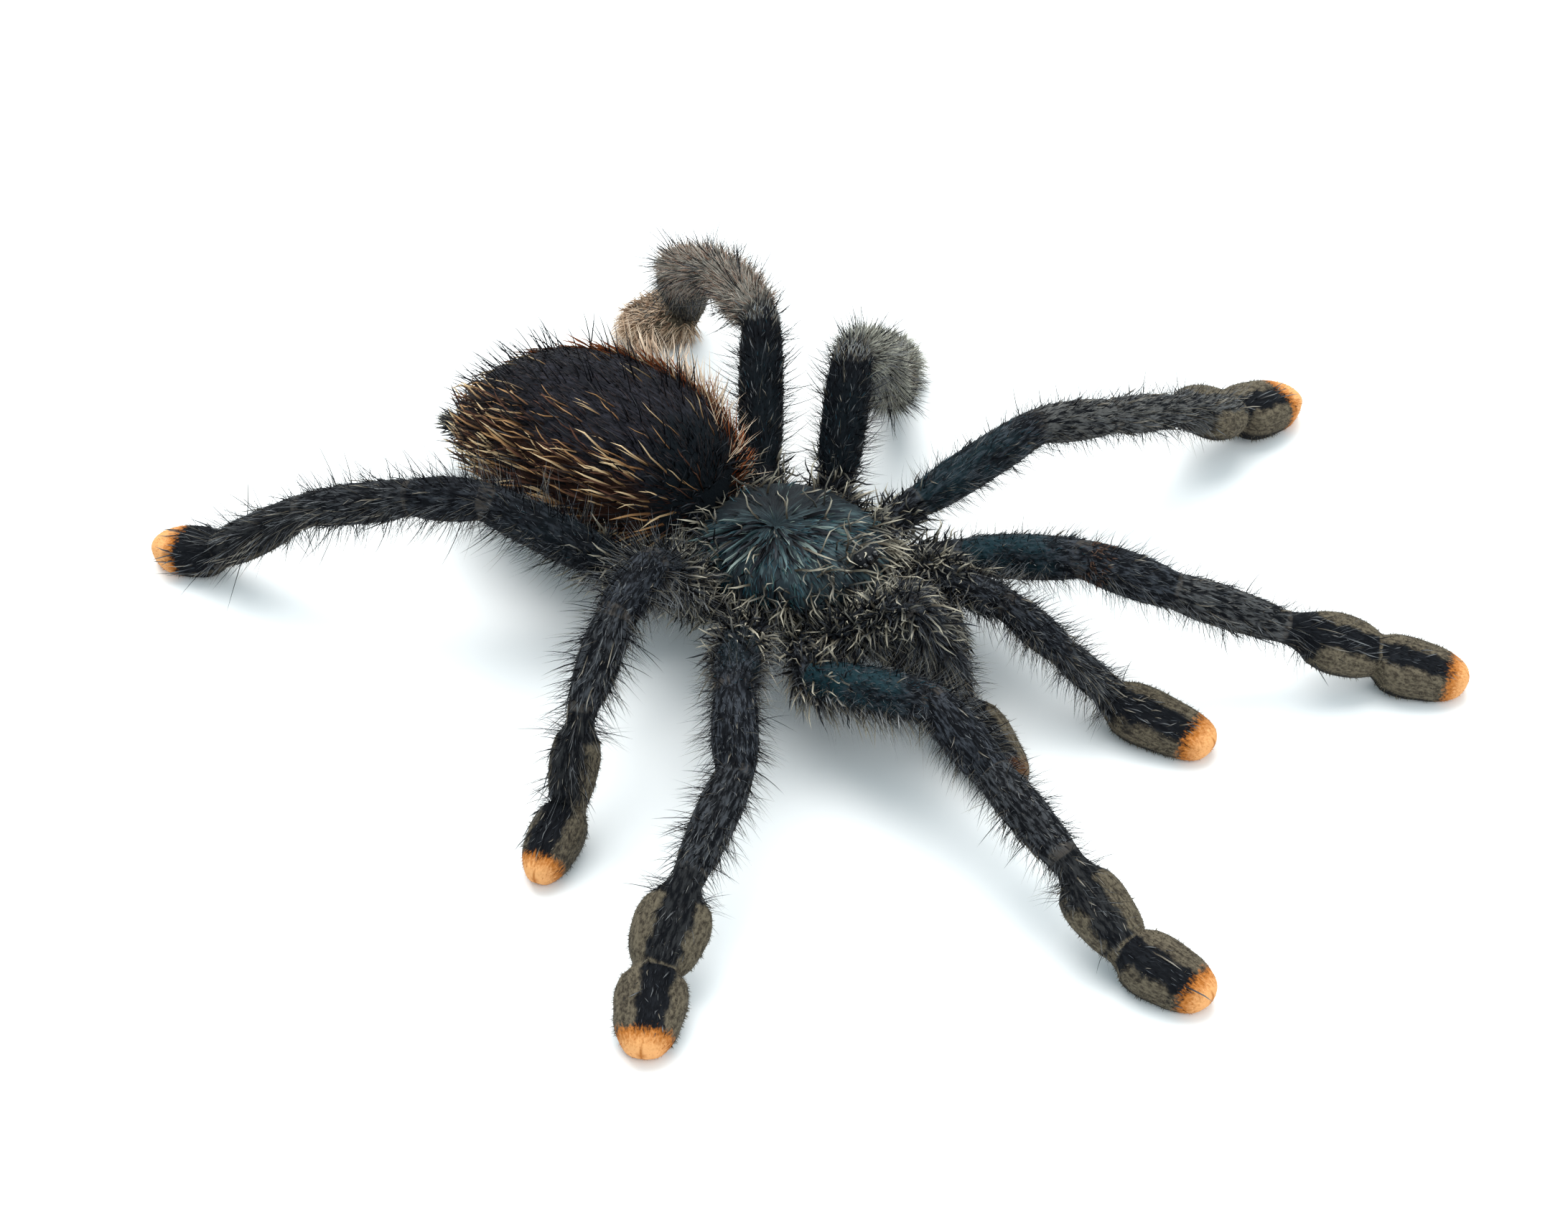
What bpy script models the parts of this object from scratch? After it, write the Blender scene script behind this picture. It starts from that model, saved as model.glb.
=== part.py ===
"""Dried pink-toed tarantula specimen standing on its feet, built as closed faceted solids.

The frame is +X to the right, +Y away from the front and +Z up, in metres. Sizes below are in millimetres.
Every limb is given by where its thigh (femur) starts, then by a compass turn and a rise for each segment,
so a left and a right limb of one pair share their segment lengths and differ only in pose.
"""

from math import asin, atan2, cos, hypot, pi, radians, sin

import bmesh
import bpy
from mathutils import Vector

MM = 0.001

# Where the middle of the carapace stands, and which way the head points (degrees from +X, anticlockwise).
BODY_X = -0.31
BODY_Y = 3.91
HEADING = -36.5

# Carapace and the underside it roofs.
CARAPACE_HALF_LENGTH = 9.1
CARAPACE_HALF_WIDTH = 8.0
FRONT_TAPER = 0.3
TAPER_POWER = 1.5
OUTLINE_POWER = 0.85
STERNUM_Z = 4.6
RIM_Z = 9.4
CROWN_RISE = 0.7
CROWN_START = 1.0
# (share of the outline, height) of each level, from the sternum to the crown.
CARAPACE_LEVELS = (
    (0.34, STERNUM_Z),
    (0.56, STERNUM_Z + 0.4),
    (0.66, 6.4),
    (0.68, 8.2),
    (0.80, 9.0),
    (0.98, RIM_Z),
    (1.00, RIM_Z + 0.5),
    (0.93, 10.8),
    (0.78, 11.6),
    (0.58, 12.1),
    (0.36, 12.3),
    (0.17, 12.2),
)
CARAPACE_SIDES = 32
FOVEA_Z = 11.8
FOVEA_BACK = 0.5
EYE_HILL = {"forward": 7.4, "z": 12.7, "size": (1.0, 1.35, 0.8), "sides": 12}

# Abdomen: distance behind the start of its stalk, half width, half height and height of its middle.
ABDOMEN_FRONT = (-6.7, 0.0)
ABDOMEN_TURN = 141.0
ABDOMEN_STATIONS = (
    (0.3, 0.9, 0.8, 7.3),
    (2.6, 1.1, 1.0, 7.6),
    (3.2, 4.0, 3.6, 9.6),
    (4.6, 6.5, 5.5, 10.0),
    (7.3, 8.4, 6.9, 10.3),
    (11.0, 9.4, 7.6, 10.4),
    (15.5, 9.7, 7.7, 10.3),
    (20.0, 9.2, 7.3, 10.1),
    (23.9, 8.0, 6.4, 9.7),
    (26.9, 6.2, 5.0, 9.2),
    (29.1, 4.1, 3.4, 8.8),
    (30.4, 2.1, 1.7, 8.5),
)
ABDOMEN_LENGTH = 30.8
ABDOMEN_SIDES = 24

# Spinnerets: two tapered fingers under the rear of the abdomen.
SPINNERET_START = 30.0
SPINNERET_SPREAD = 1.35
SPINNERET_Z = 5.0
SPINNERET_STATIONS = ((0.25, 0.7), (1.1, 0.9), (2.4, 0.8), (3.5, 0.55))
SPINNERET_LENGTH = 4.0
SPINNERET_SIDES = 10

# Chelicerae: distance ahead of the root, half width, half height and height of the middle.
CHELICERA_ROOT = 8.6
CHELICERA_SPREAD = 2.0
CHELICERA_STATIONS = (
    (0.3, 1.2, 1.4, 7.8),
    (1.3, 1.7, 2.0, 7.8),
    (3.0, 1.8, 2.3, 7.6),
    (5.0, 1.8, 2.3, 6.9),
    (6.6, 1.6, 1.9, 6.1),
    (7.6, 1.0, 1.2, 5.5),
)
CHELICERA_LENGTH = 8.1
CHELICERA_DROP = 0.2
CHELICERA_SIDES = 16

# Fangs, folded back under the chelicerae: each starts ahead of the root at a height, curves down and tapers.
FANG_START = (7.0, 4.9)
FANG_ROOT_RISE = 0.5
FANG_RADIUS = 0.5
FANG_TAPER = 0.7
FANG_LENGTH = 3.4
FANG_DROP = 1.0
FANG_SHARES = (0.05, 0.3, 0.6, 0.85)
FANG_SIDES = 8

# Lengths of femur, patella, tibia, metatarsus and tarsus of each leg pair; a palp has no metatarsus.
SEGMENTS = {
    "1": (13.1, 8.4, 10.5, 9.3, 8.6),
    "2": (12.7, 7.9, 9.6, 9.0, 8.3),
    "3": (10.7, 6.6, 8.2, 8.9, 7.8),
    "4": (14.3, 7.0, 11.1, 11.1, 7.0),
    "palp": (9.7, 6.1, 6.7, 10.1),
}
# Where each coxa starts beside the sternum: forward and sideways from the carapace's middle, and its height.
COXA_STARTS = {
    "1": (4.7, 6.1, 6.6),
    "2": (1.4, 6.9, 6.6),
    "3": (-2.1, 6.9, 6.3),
    "4": (-5.7, 5.6, 6.6),
    "palp": (7.9, 4.5, 5.4),
}
TOE_Z = 1.4
COXA_BACK = 0.4

# Pair, side (+1 left, -1 right), start of the femur from the carapace's middle, compass turn of each segment,
# rise of each segment but the tarsus, which comes down to the toe's height.
LIMBS = {
    "leg_1_left": ("1", 1, (15.2, 2.0, 7.5), (-34, -9, -4, 2, -12), (24, -18, -20, -22)),
    "leg_2_left": ("2", 1, (11.0, 7.8, 8.9), (26, 26, 42, 43, 35), (21, -12, -25, -28)),
    "leg_3_left": ("3", 1, (3.6, 11.1, 9.3), (77, 69, 61, 88, 95), (56, -31, -65, -26)),
    "leg_4_left": ("4", 1, (-3.3, 13.2, 7.7), (90, 120, 120, 79, 195), (42, 5, -30, -56)),
    "leg_1_right": ("1", -1, (1.2, -14.5, 7.5), (-34, -51, -59, -47, -35), (16, -19, -4, -30)),
    "leg_2_right": ("2", -1, (-5.0, -10.9, 8.9), (-92, -89, -114, -111, -98), (21, -18, -21, -27)),
    "leg_3_right": ("3", -1, (-9.6, -4.4, 9.1), (-117, -116, -115, -108, -112), (49, -5, -40, -61)),
    "leg_4_right": ("4", -1, (-15.3, -0.5, 7.9), (175, 163, 164, 162, 160), (30, -11, -20, -38)),
    "palp_left": ("palp", 1, (11.7, -1.1, 8.4), (-44, -39, -8, -27), (9, -19, -45)),
    "palp_right": ("palp", -1, (3.5, -9.9, 8.2), (-27, 0, -5, -63), (43, -60, -76)),
}

# Sections along each kind of segment: (share of its length, half width, height above, height below the line).
COXA = ((0.0, 0.8, 0.8, 0.8), (0.2, 1.3, 1.25, 1.3), (0.62, 1.45, 1.3, 1.6), (0.88, 1.65, 1.55, 1.7))
FEMUR = ((0.0, 1.5, 1.5, 1.5), (0.13, 1.95, 1.95, 1.95), (0.45, 2.1, 2.15, 2.1), (0.86, 2.0, 2.0, 2.0))
PATELLA = ((0.0, 1.65, 1.7, 1.6), (0.2, 2.0, 2.0, 1.95), (0.55, 2.1, 2.1, 2.0), (0.85, 1.9, 1.9, 1.85))
TIBIA = ((0.0, 1.55, 1.6, 1.5), (0.16, 1.9, 1.85, 1.85), (0.5, 1.95, 1.9, 1.9), (0.86, 1.7, 1.7, 1.7))
METATARSUS = ((0.0, 1.4, 1.4, 1.4), (0.12, 1.6, 1.5, 1.6))
META_PAD = ((0.28, 0.7, 1.5, 2.0), (0.5, 0.98, 1.45, 2.2), (0.74, 1.0, 1.45, 2.2), (0.93, 0.8, 1.35, 2.0))
TARSUS = (
    (0.0, 0.6, 1.3, 1.9),
    (0.09, 0.84, 1.35, 2.9),
    (0.4, 1.0, 1.4, 3.0),
    (0.74, 0.96, 1.3, 2.6),
    (0.93, 0.62, 0.95, 2.0),
)
# Half width of the pads under the metatarsus and under the tarsus; the two lists above give shares of it.
PAD_WIDTHS = {"1": (3.0, 2.9), "2": (3.3, 2.95), "3": (2.4, 2.6), "4": (2.0, 2.4), "palp": (0.0, 2.8)}
PALP_SCALE = 0.92
LIMB_SIDES = 12
PAD_POWER = 0.7
PAD_START = 0.2
METATARSUS_INDEX = 4

LIMB_COLOUR = (0.028, 0.027, 0.036)
MATERIALS = {
    "carapace": ((0.10, 0.15, 0.16), 0.75),
    "abdomen": ((0.085, 0.035, 0.025), 0.9),
    "chelicera": ((0.045, 0.045, 0.055), 0.85),
    "palp": (LIMB_COLOUR, 0.8),
    "leg": (LIMB_COLOUR, 0.8),
    "spinneret": ((0.07, 0.05, 0.045), 0.85),
}


def clear_scene():
    """Remove every object of the startup scene."""
    for obj in list(bpy.data.objects):
        bpy.data.objects.remove(obj, do_unlink=True)


def new_collection(name, hidden=False):
    """Link a collection to the scene; a hidden one holds helpers only."""
    collection = bpy.data.collections.new(name)
    collection.hide_render = hidden
    bpy.context.scene.collection.children.link(collection)
    return collection


def new_material(name):
    """Plain Principled material of the photo's colour."""
    colour, roughness = MATERIALS[name]
    material = bpy.data.materials.new(name)
    material.use_nodes = True
    shader = material.node_tree.nodes["Principled BSDF"]
    shader.inputs["Base Color"].default_value = (*colour, 1.0)
    shader.inputs["Roughness"].default_value = roughness
    return material


def in_plan(forward, left):
    """Turn body directions (forward, left) into plan offsets from the carapace's middle."""
    turn = radians(HEADING)
    return Vector((forward * cos(turn) - left * sin(turn), forward * sin(turn) + left * cos(turn), 0.0))


def on_body(forward, left, z):
    """Point given along the body, in the object's frame."""
    return Vector((BODY_X, BODY_Y, z)) + in_plan(forward, left)


def signed_power(value, power):
    """Power that keeps the sign, for rounded-square outlines."""
    return abs(value) ** power if value >= 0 else -(abs(value) ** power)


def add_object(name, bm, collection, material):
    """Turn a bmesh in millimetres into a smooth shaded object in metres."""
    bmesh.ops.scale(bm, vec=(MM, MM, MM), verts=bm.verts)
    bmesh.ops.recalc_face_normals(bm, faces=bm.faces)
    mesh = bpy.data.meshes.new(name)
    bm.to_mesh(mesh)
    bm.free()
    mesh.shade_smooth()
    mesh.materials.append(material)
    obj = bpy.data.objects.new(name, mesh)
    collection.objects.link(obj)
    return obj


def skin(rings, start, end, sides):
    """Ball drawn out over rings of points, with a pole at each end.

    rings is a list of functions from an angle to a point; start and end are the poles.
    """
    bm = bmesh.new()
    steps = len(rings) + 1
    bmesh.ops.create_uvsphere(bm, u_segments=sides, v_segments=steps, radius=1.0)
    for vert in bm.verts:
        flat = hypot(vert.co.x, vert.co.y)
        level = round(atan2(flat, vert.co.z) / pi * steps)
        if level == 0:
            vert.co = start
        elif level == steps:
            vert.co = end
        else:
            vert.co = rings[level - 1](atan2(vert.co.y, vert.co.x))
    return bm


def oval(centre, side, up, width, above, below, power=1.0):
    """Section whose upper and lower halves may differ, squarer as power drops under 1."""

    def point(angle):
        across = signed_power(cos(angle), power) * width
        height = signed_power(sin(angle), power) * (above if sin(angle) > 0 else below)
        return centre + side * across + up * height

    return point


def carapace_ring(share, z):
    """One level of the cephalothorax: the outline shrunk, the head a little higher than the rim."""

    def point(angle):
        x = signed_power(cos(angle), OUTLINE_POWER)
        width = CARAPACE_HALF_WIDTH * (1 - FRONT_TAPER * max(0.0, x) ** TAPER_POWER)
        y = signed_power(sin(angle), OUTLINE_POWER) * width
        raised = CROWN_RISE * max(0.0, x * share) if z > RIM_Z + CROWN_START else 0.0
        return on_body(x * CARAPACE_HALF_LENGTH * share, y * share, z + raised)

    return point


def add_ball(bm, middle, size, steps):
    """Add an oval ball, its first axis along the body."""
    ball = bmesh.ops.create_uvsphere(bm, u_segments=steps, v_segments=steps // 2, radius=1.0)
    for vert in ball["verts"]:
        forward, left, up = (part * half for part, half in zip(vert.co, size))
        vert.co = middle + in_plan(forward, left) + Vector((0, 0, up))


def join_with(target, cutter):
    """Union of a helper into its object."""
    modifier = target.modifiers.new("Join", "BOOLEAN")
    modifier.operation = "UNION"
    modifier.solver = "EXACT"
    modifier.object = cutter


def build_cephalothorax(collection, helpers, material):
    """Carapace, side walls and sternum in one, with the hill that carries the eyes."""
    rings = [carapace_ring(share, z) for share, z in CARAPACE_LEVELS]
    bm = skin(rings, on_body(0, 0, STERNUM_Z), on_body(-FOVEA_BACK, 0, FOVEA_Z), CARAPACE_SIDES)
    body = add_object("cephalothorax", bm, collection, material)
    hill = bmesh.new()
    add_ball(hill, on_body(EYE_HILL["forward"], 0, EYE_HILL["z"]), EYE_HILL["size"], EYE_HILL["sides"])
    join_with(body, add_object("eye_hill_form", hill, helpers, material))


def along_abdomen(distance, left, z):
    """Point at a distance behind the front of the abdomen."""
    turn = radians(ABDOMEN_TURN)
    front = on_body(*ABDOMEN_FRONT, z)
    return front + Vector((cos(turn), sin(turn), 0)) * distance + Vector((sin(turn), -cos(turn), 0)) * left


def build_abdomen(collection, material):
    """Egg-shaped abdomen with a short stalk at its front."""
    side = along_abdomen(0, 1, 0) - along_abdomen(0, 0, 0)
    up = Vector((0, 0, 1))
    rings = [
        oval(along_abdomen(distance, 0, z), side, up, width, height, height)
        for distance, width, height, z in ABDOMEN_STATIONS
    ]
    start = along_abdomen(0, 0, ABDOMEN_STATIONS[0][3])
    end = along_abdomen(ABDOMEN_LENGTH, 0, ABDOMEN_STATIONS[-1][3])
    add_object("abdomen", skin(rings, start, end, ABDOMEN_SIDES), collection, material)


def build_spinnerets(collection, material):
    """Pair of tapered fingers behind the abdomen."""
    side = along_abdomen(0, 1, 0) - along_abdomen(0, 0, 0)
    up = Vector((0, 0, 1))
    for name, sign in (("left", 1), ("right", -1)):
        lateral = sign * SPINNERET_SPREAD
        rings = []
        for distance, radius in SPINNERET_STATIONS:
            middle = along_abdomen(SPINNERET_START + distance, lateral, SPINNERET_Z)
            rings.append(oval(middle, side, up, radius, radius, radius))
        start = along_abdomen(SPINNERET_START, lateral, SPINNERET_Z)
        end = along_abdomen(SPINNERET_START + SPINNERET_LENGTH, lateral, SPINNERET_Z)
        add_object(f"spinneret_{name}", skin(rings, start, end, SPINNERET_SIDES), collection, material)


def build_fang(name, lateral, helpers, material):
    """Curved fang folded back under one chelicera."""
    ahead, z = FANG_START
    side = in_plan(0, 1)
    up = Vector((0, 0, 1))
    rings = []
    for share in FANG_SHARES:
        drop = FANG_DROP * sin(share * pi / 2)
        middle = on_body(CHELICERA_ROOT + ahead - FANG_LENGTH * share, lateral, z - drop)
        radius = FANG_RADIUS * (1.0 - FANG_TAPER * share)
        rings.append(oval(middle, side, up, radius, radius, radius))
    first = on_body(CHELICERA_ROOT + ahead + FANG_ROOT_RISE, lateral, z + FANG_ROOT_RISE)
    last = on_body(CHELICERA_ROOT + ahead - FANG_LENGTH, lateral, z - FANG_DROP)
    return add_object(name, skin(rings, first, last, FANG_SIDES), helpers, material)


def build_chelicerae(collection, helpers, material):
    """Pair of jaw bases ahead of the carapace, each with its fang folded under it."""
    side = in_plan(0, 1)
    up = Vector((0, 0, 1))
    for name, sign in (("left", 1), ("right", -1)):
        lateral = sign * CHELICERA_SPREAD
        rings = [
            oval(on_body(CHELICERA_ROOT + ahead, lateral, z), side, up, width, height, height, OUTLINE_POWER)
            for ahead, width, height, z in CHELICERA_STATIONS
        ]
        start = on_body(CHELICERA_ROOT, lateral, CHELICERA_STATIONS[0][3])
        end = on_body(CHELICERA_ROOT + CHELICERA_LENGTH, lateral, CHELICERA_STATIONS[-1][3] - CHELICERA_DROP)
        jaw = add_object(f"chelicera_{name}", skin(rings, start, end, CHELICERA_SIDES), collection, material)
        fang = build_fang(f"fang_form_{name}", lateral, helpers, material)
        join_with(jaw, fang)


def limb_joints(pair, side, thigh, turns, rises):
    """Points from the coxa's start to the tip of the toe."""
    forward, lateral, z = COXA_STARTS[pair]
    start = on_body(forward, lateral * side, z)
    points = [start, Vector((BODY_X + thigh[0], BODY_Y + thigh[1], thigh[2]))]
    lengths = SEGMENTS[pair]
    for length, turn, rise in zip(lengths[:-1], turns, rises):
        across = cos(radians(rise)) * length
        step = Vector((across * cos(radians(turn)), across * sin(radians(turn)), sin(radians(rise)) * length))
        points.append(points[-1] + step)
    last_rise = asin((TOE_Z - points[-1].z) / lengths[-1])
    across = cos(last_rise) * lengths[-1]
    turn = radians(turns[-1])
    points.append(points[-1] + Vector((across * cos(turn), across * sin(turn), TOE_Z - points[-1].z)))
    return points


def widened(sections, width):
    """Sections whose widths are shares of a pad's half width."""
    return tuple((share, part * width, above, below) for share, part, above, below in sections)


def segment_sections(pair):
    """Section lists of a limb, coxa first."""
    meta_pad, foot_pad = PAD_WIDTHS[pair]
    foot = widened(TARSUS, foot_pad)
    if pair == "palp":
        return (COXA, FEMUR, PATELLA, TIBIA, foot)
    return (COXA, FEMUR, PATELLA, TIBIA, METATARSUS + widened(META_PAD, meta_pad), foot)


def build_limb(name, limb, collection, material):
    """One leg or palp as a single skin along its joints, flat under the foot."""
    pair = limb[0]
    points = limb_joints(*limb)
    scale = PALP_SCALE if pair == "palp" else 1.0
    directions = [(b - a).normalized() for a, b in zip(points, points[1:])]
    side = directions[0].cross(Vector((0, 0, 1))).normalized()
    rings = []
    stations = segment_sections(pair)
    for index, sections in enumerate(stations):
        length = (points[index + 1] - points[index]).length
        foot = index == len(stations) - 1
        for share, width, above, below in sections:
            tangent = directions[index]
            if share == 0.0 and index > 0:
                tangent = (directions[index - 1] + directions[index]).normalized()
            side = (side - tangent * side.dot(tangent)).normalized()
            level = tangent.cross(Vector((0, 0, 1)))
            if foot and level.length > 0.5:
                side = level.normalized() if side.dot(level) > 0 else -level.normalized()
            up = side.cross(tangent).normalized()
            centre = points[index] + directions[index] * length * share
            padded = foot or (index == METATARSUS_INDEX and share > PAD_START)
            power = PAD_POWER if padded else 1.0
            rings.append(oval(centre, side, up, width * scale, above * scale, below * scale, power))
    bm = skin(rings, points[0] - directions[0] * COXA_BACK, points[-1], LIMB_SIDES)
    for vert in bm.verts:
        vert.co.z = max(0.0, vert.co.z)
    add_object(name, bm, collection, material)


def build():
    """Make the whole specimen."""
    clear_scene()
    parts = new_collection("tarantula_specimen")
    helpers = new_collection("helpers", hidden=True)
    materials = {name: new_material(name) for name in MATERIALS}
    build_cephalothorax(parts, helpers, materials["carapace"])
    build_abdomen(parts, materials["abdomen"])
    build_spinnerets(parts, materials["spinneret"])
    build_chelicerae(parts, helpers, materials["chelicera"])
    for name, limb in LIMBS.items():
        build_limb(name, limb, parts, materials[name.split("_")[0]])
    for helper in helpers.objects:
        helper.hide_render = True
        helper.display_type = "WIRE"


build()
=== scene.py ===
"""Dried pink-toed tarantula on a white floor: skin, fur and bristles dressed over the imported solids.

Sizes are in millimetres and angles in degrees, and meshes are stored in metres. Every limb is described by
the same joints as its solid, so fur and colour can follow the limb: along it, across it and round it.
"""

from __future__ import annotations

import logging
import math
from dataclasses import dataclass
from enum import Enum, IntEnum, StrEnum, auto
from typing import Any, Protocol

import bpy
import numpy as np
from mathutils import Matrix, Vector

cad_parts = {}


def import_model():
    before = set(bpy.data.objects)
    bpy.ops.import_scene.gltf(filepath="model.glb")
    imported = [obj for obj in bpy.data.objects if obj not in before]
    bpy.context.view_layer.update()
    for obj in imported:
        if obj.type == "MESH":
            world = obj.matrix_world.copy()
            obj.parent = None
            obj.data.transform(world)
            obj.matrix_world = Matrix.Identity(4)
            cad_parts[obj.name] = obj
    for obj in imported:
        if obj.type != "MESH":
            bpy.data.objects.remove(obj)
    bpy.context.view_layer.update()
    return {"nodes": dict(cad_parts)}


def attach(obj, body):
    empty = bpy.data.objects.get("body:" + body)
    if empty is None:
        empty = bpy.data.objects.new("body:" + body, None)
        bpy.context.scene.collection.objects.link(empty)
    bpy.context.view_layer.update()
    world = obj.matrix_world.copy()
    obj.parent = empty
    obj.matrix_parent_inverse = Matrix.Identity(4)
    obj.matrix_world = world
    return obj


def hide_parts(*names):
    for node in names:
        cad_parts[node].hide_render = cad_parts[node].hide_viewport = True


LOG = logging.getLogger("tarantula")

MM = 0.001
SEED = 20
HAIR_MAP = "OFBake"
UP = np.array([0.0, 0.0, 1.0])

# Where the middle of the carapace stands, and which way the head and the abdomen's rear point, from +X.
BODY = np.array([-0.31, 3.91, 0.0])
HEADING = -36.5
REAR = 141.0

# Height of every toe's tip, and the share of the tarsus where the peach colour starts.
TOE_Z = 1.4
TOE_START = 0.71

# Metres within which a solid's points are one, and the angle under which two of its facets are one face.
MERGE = 2e-6
FACET_ANGLE = math.radians(60)

# Sides of a hair, how deep its foot stands in the skin, how far it waves in radians, and the width of each
# side on the hair map. A hair's own number on that map stays under LAST_KIND, so that its sides fit.
SIDES = 3
ROOT_DEPTH = 0.08
WAVE = 5.0
MAP_STEP = 0.004
LAST_KIND = 0.985

# How softly the two colours of a coat part, how often its shade changes, and the darkest shade and its range.
KIND_BLUR = 0.04
SHADE_CHANGES = 37.0
DARKEST = 0.7
SHADE_RANGE = 0.5

Colour = tuple[float, float, float]
Array = np.ndarray
Piece = bpy.types.Object
Material = bpy.types.Material
Node = bpy.types.ShaderNode
Socket = bpy.types.NodeSocket


class Part(IntEnum):
    """Segments of a limb, from the body outwards."""

    COXA = 0
    FEMUR = 1
    PATELLA = 2
    TIBIA = 3
    METATARSUS = 4
    TARSUS = 5


class Side(IntEnum):
    """Sides of the body, signed for its own left."""

    LEFT = 1
    RIGHT = -1


class Pair(Enum):
    """Pairs of limbs: their segments' lengths from the femur outwards, and where their coxae start."""

    FIRST = ((13.1, 8.4, 10.5, 9.3, 8.6), (4.7, 6.1, 6.6))
    SECOND = ((12.7, 7.9, 9.6, 9.0, 8.3), (1.4, 6.9, 6.6))
    THIRD = ((10.7, 6.6, 8.2, 8.9, 7.8), (-2.1, 6.9, 6.3))
    FOURTH = ((14.3, 7.0, 11.1, 11.1, 7.0), (-5.7, 5.6, 6.6))
    PALP = ((9.7, 6.1, 6.7, 10.1), (7.9, 4.5, 5.4))

    def __init__(self, lengths: tuple[float, ...], start: tuple[float, float, float]) -> None:
        """Keep the lengths, and the start as forward, sideways and up."""
        self.lengths = lengths
        self.start = start


class Slot(Enum):
    """Material slots of the record."""

    CARAPACE = "carapace"
    ABDOMEN = "abdomen"
    SPINNERET = "spinneret"
    CHELICERA = "chelicera"
    PALP = "palp"
    LEG = "leg"


class Finish(StrEnum):
    """Materials of the skins and coats."""

    LIMB_SKIN = auto()
    CARAPACE_SKIN = auto()
    ABDOMEN_SKIN = auto()
    JAW_SKIN = auto()
    SPINNERET_SKIN = auto()
    EYE = auto()
    LIMB_FUR = auto()
    GREY_FUR = auto()
    ASH_FUR = auto()
    RUST_FUR = auto()
    BLUE_FUR = auto()
    PALE_HAIR = auto()
    OLIVE_FUZZ = auto()
    TEAL_FUR = auto()
    FLECK = auto()
    FUZZ = auto()
    BRISTLE = auto()
    FINE_HAIR = auto()
    TAN_HAIR = auto()
    SANDY_HAIR = auto()
    PAD_FUR = auto()
    TOE_FUR = auto()
    CARAPACE_FUR = auto()
    RAY_HAIR = auto()
    VELVET = auto()
    RED_FUR = auto()
    RED_HAIR = auto()
    GOLDEN_HAIR = auto()
    RUSTY_HAIR = auto()


@dataclass
class Kit:
    """What every section dresses with: the solids, the materials and a source of chance."""

    nodes: dict[str, Piece]
    finishes: dict[Finish, Material]
    rng: np.random.Generator


class Section(Protocol):
    """A sub-assembly that can dress its node."""

    def dress(self, kit: Kit) -> None:
        """Build the skin and the hair."""


# ---------------------------------------------------------------- small vector helpers


def unit(vectors: Array) -> Array:
    """Vectors scaled to length one."""
    return vectors / np.maximum(np.linalg.norm(vectors, axis=-1, keepdims=True), 1e-9)


def dot(a: Array, b: Array) -> Array:
    """Row by row dot product, kept as a column."""
    return (a * b).sum(axis=-1, keepdims=True)


def ramp(value: Array, low: float, high: float) -> Array:
    """Smooth step from 0 at low to 1 at high."""
    t = np.clip((value - low) / (high - low), 0.0, 1.0)
    return t * t * (3 - 2 * t)


def band(chance: Array, start: float, share: float | Array) -> Array:
    """Mask of a share of the places, so that kinds of hair in other bands grow from other places."""
    return (chance > start) & (chance < start + share)


def level(turn: float) -> Array:
    """Level vector of length one, turned from +X."""
    return np.array([math.cos(math.radians(turn)), math.sin(math.radians(turn)), 0.0])


def leftward(direction: Array) -> Array:
    """Level vector at the left of another."""
    return np.array([-direction[1], direction[0], 0.0])


def in_plan(forward: float, left: float) -> Array:
    """Plan vector for a distance forward along the body and one to its left."""
    ahead = level(HEADING)
    return forward * ahead + left * leftward(ahead)


def on_body(forward: float, left: float, z: float) -> Array:
    """Point given along the body, in the object's frame."""
    return BODY + in_plan(forward, left) + UP * z


# ---------------------------------------------------------------- shader expressions


class Wire:
    """One socket, with the operators that shader maths needs."""

    def __init__(self, paint: Paint, socket: Socket) -> None:
        """Keep the socket and the material it belongs to."""
        self.paint = paint
        self.socket = socket

    def _math(self, operation: str, *others: Wire | float) -> Wire:
        """Math node on this socket and the others."""
        node = self.paint.node("ShaderNodeMath", {"operation": operation}, [self, *others])
        return Wire(self.paint, node.outputs[0])

    def __add__(self, other: Wire | float) -> Wire:
        """Sum."""
        return self._math("ADD", other)

    __radd__ = __add__

    def __mul__(self, other: Wire | float) -> Wire:
        """Product."""
        return self._math("MULTIPLY", other)

    __rmul__ = __mul__

    def __sub__(self, other: Wire | float) -> Wire:
        """Difference."""
        return self._math("SUBTRACT", other)

    def __rsub__(self, other: Wire | float) -> Wire:
        """Difference the other way round."""
        return self * -1.0 + other

    def __abs__(self) -> Wire:
        """Size without its sign."""
        return self._math("ABSOLUTE")

    def rounded(self) -> Wire:
        """Nearest whole number."""
        return self._math("ROUND")

    def fraction(self) -> Wire:
        """What is left above the whole number."""
        return self._math("FRACT")

    def step(self, low: float, high: float) -> Wire:
        """Make a smooth step.

        Args:
            low: value that gives 0.
            high: value that gives 1.

        Returns:
            The stepped value.
        """
        settings = {"interpolation_type": "SMOOTHSTEP"}
        inputs = {"Value": self, "From Min": low, "From Max": high}
        return Wire(self.paint, self.paint.node("ShaderNodeMapRange", settings, inputs).outputs["Result"])


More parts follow.
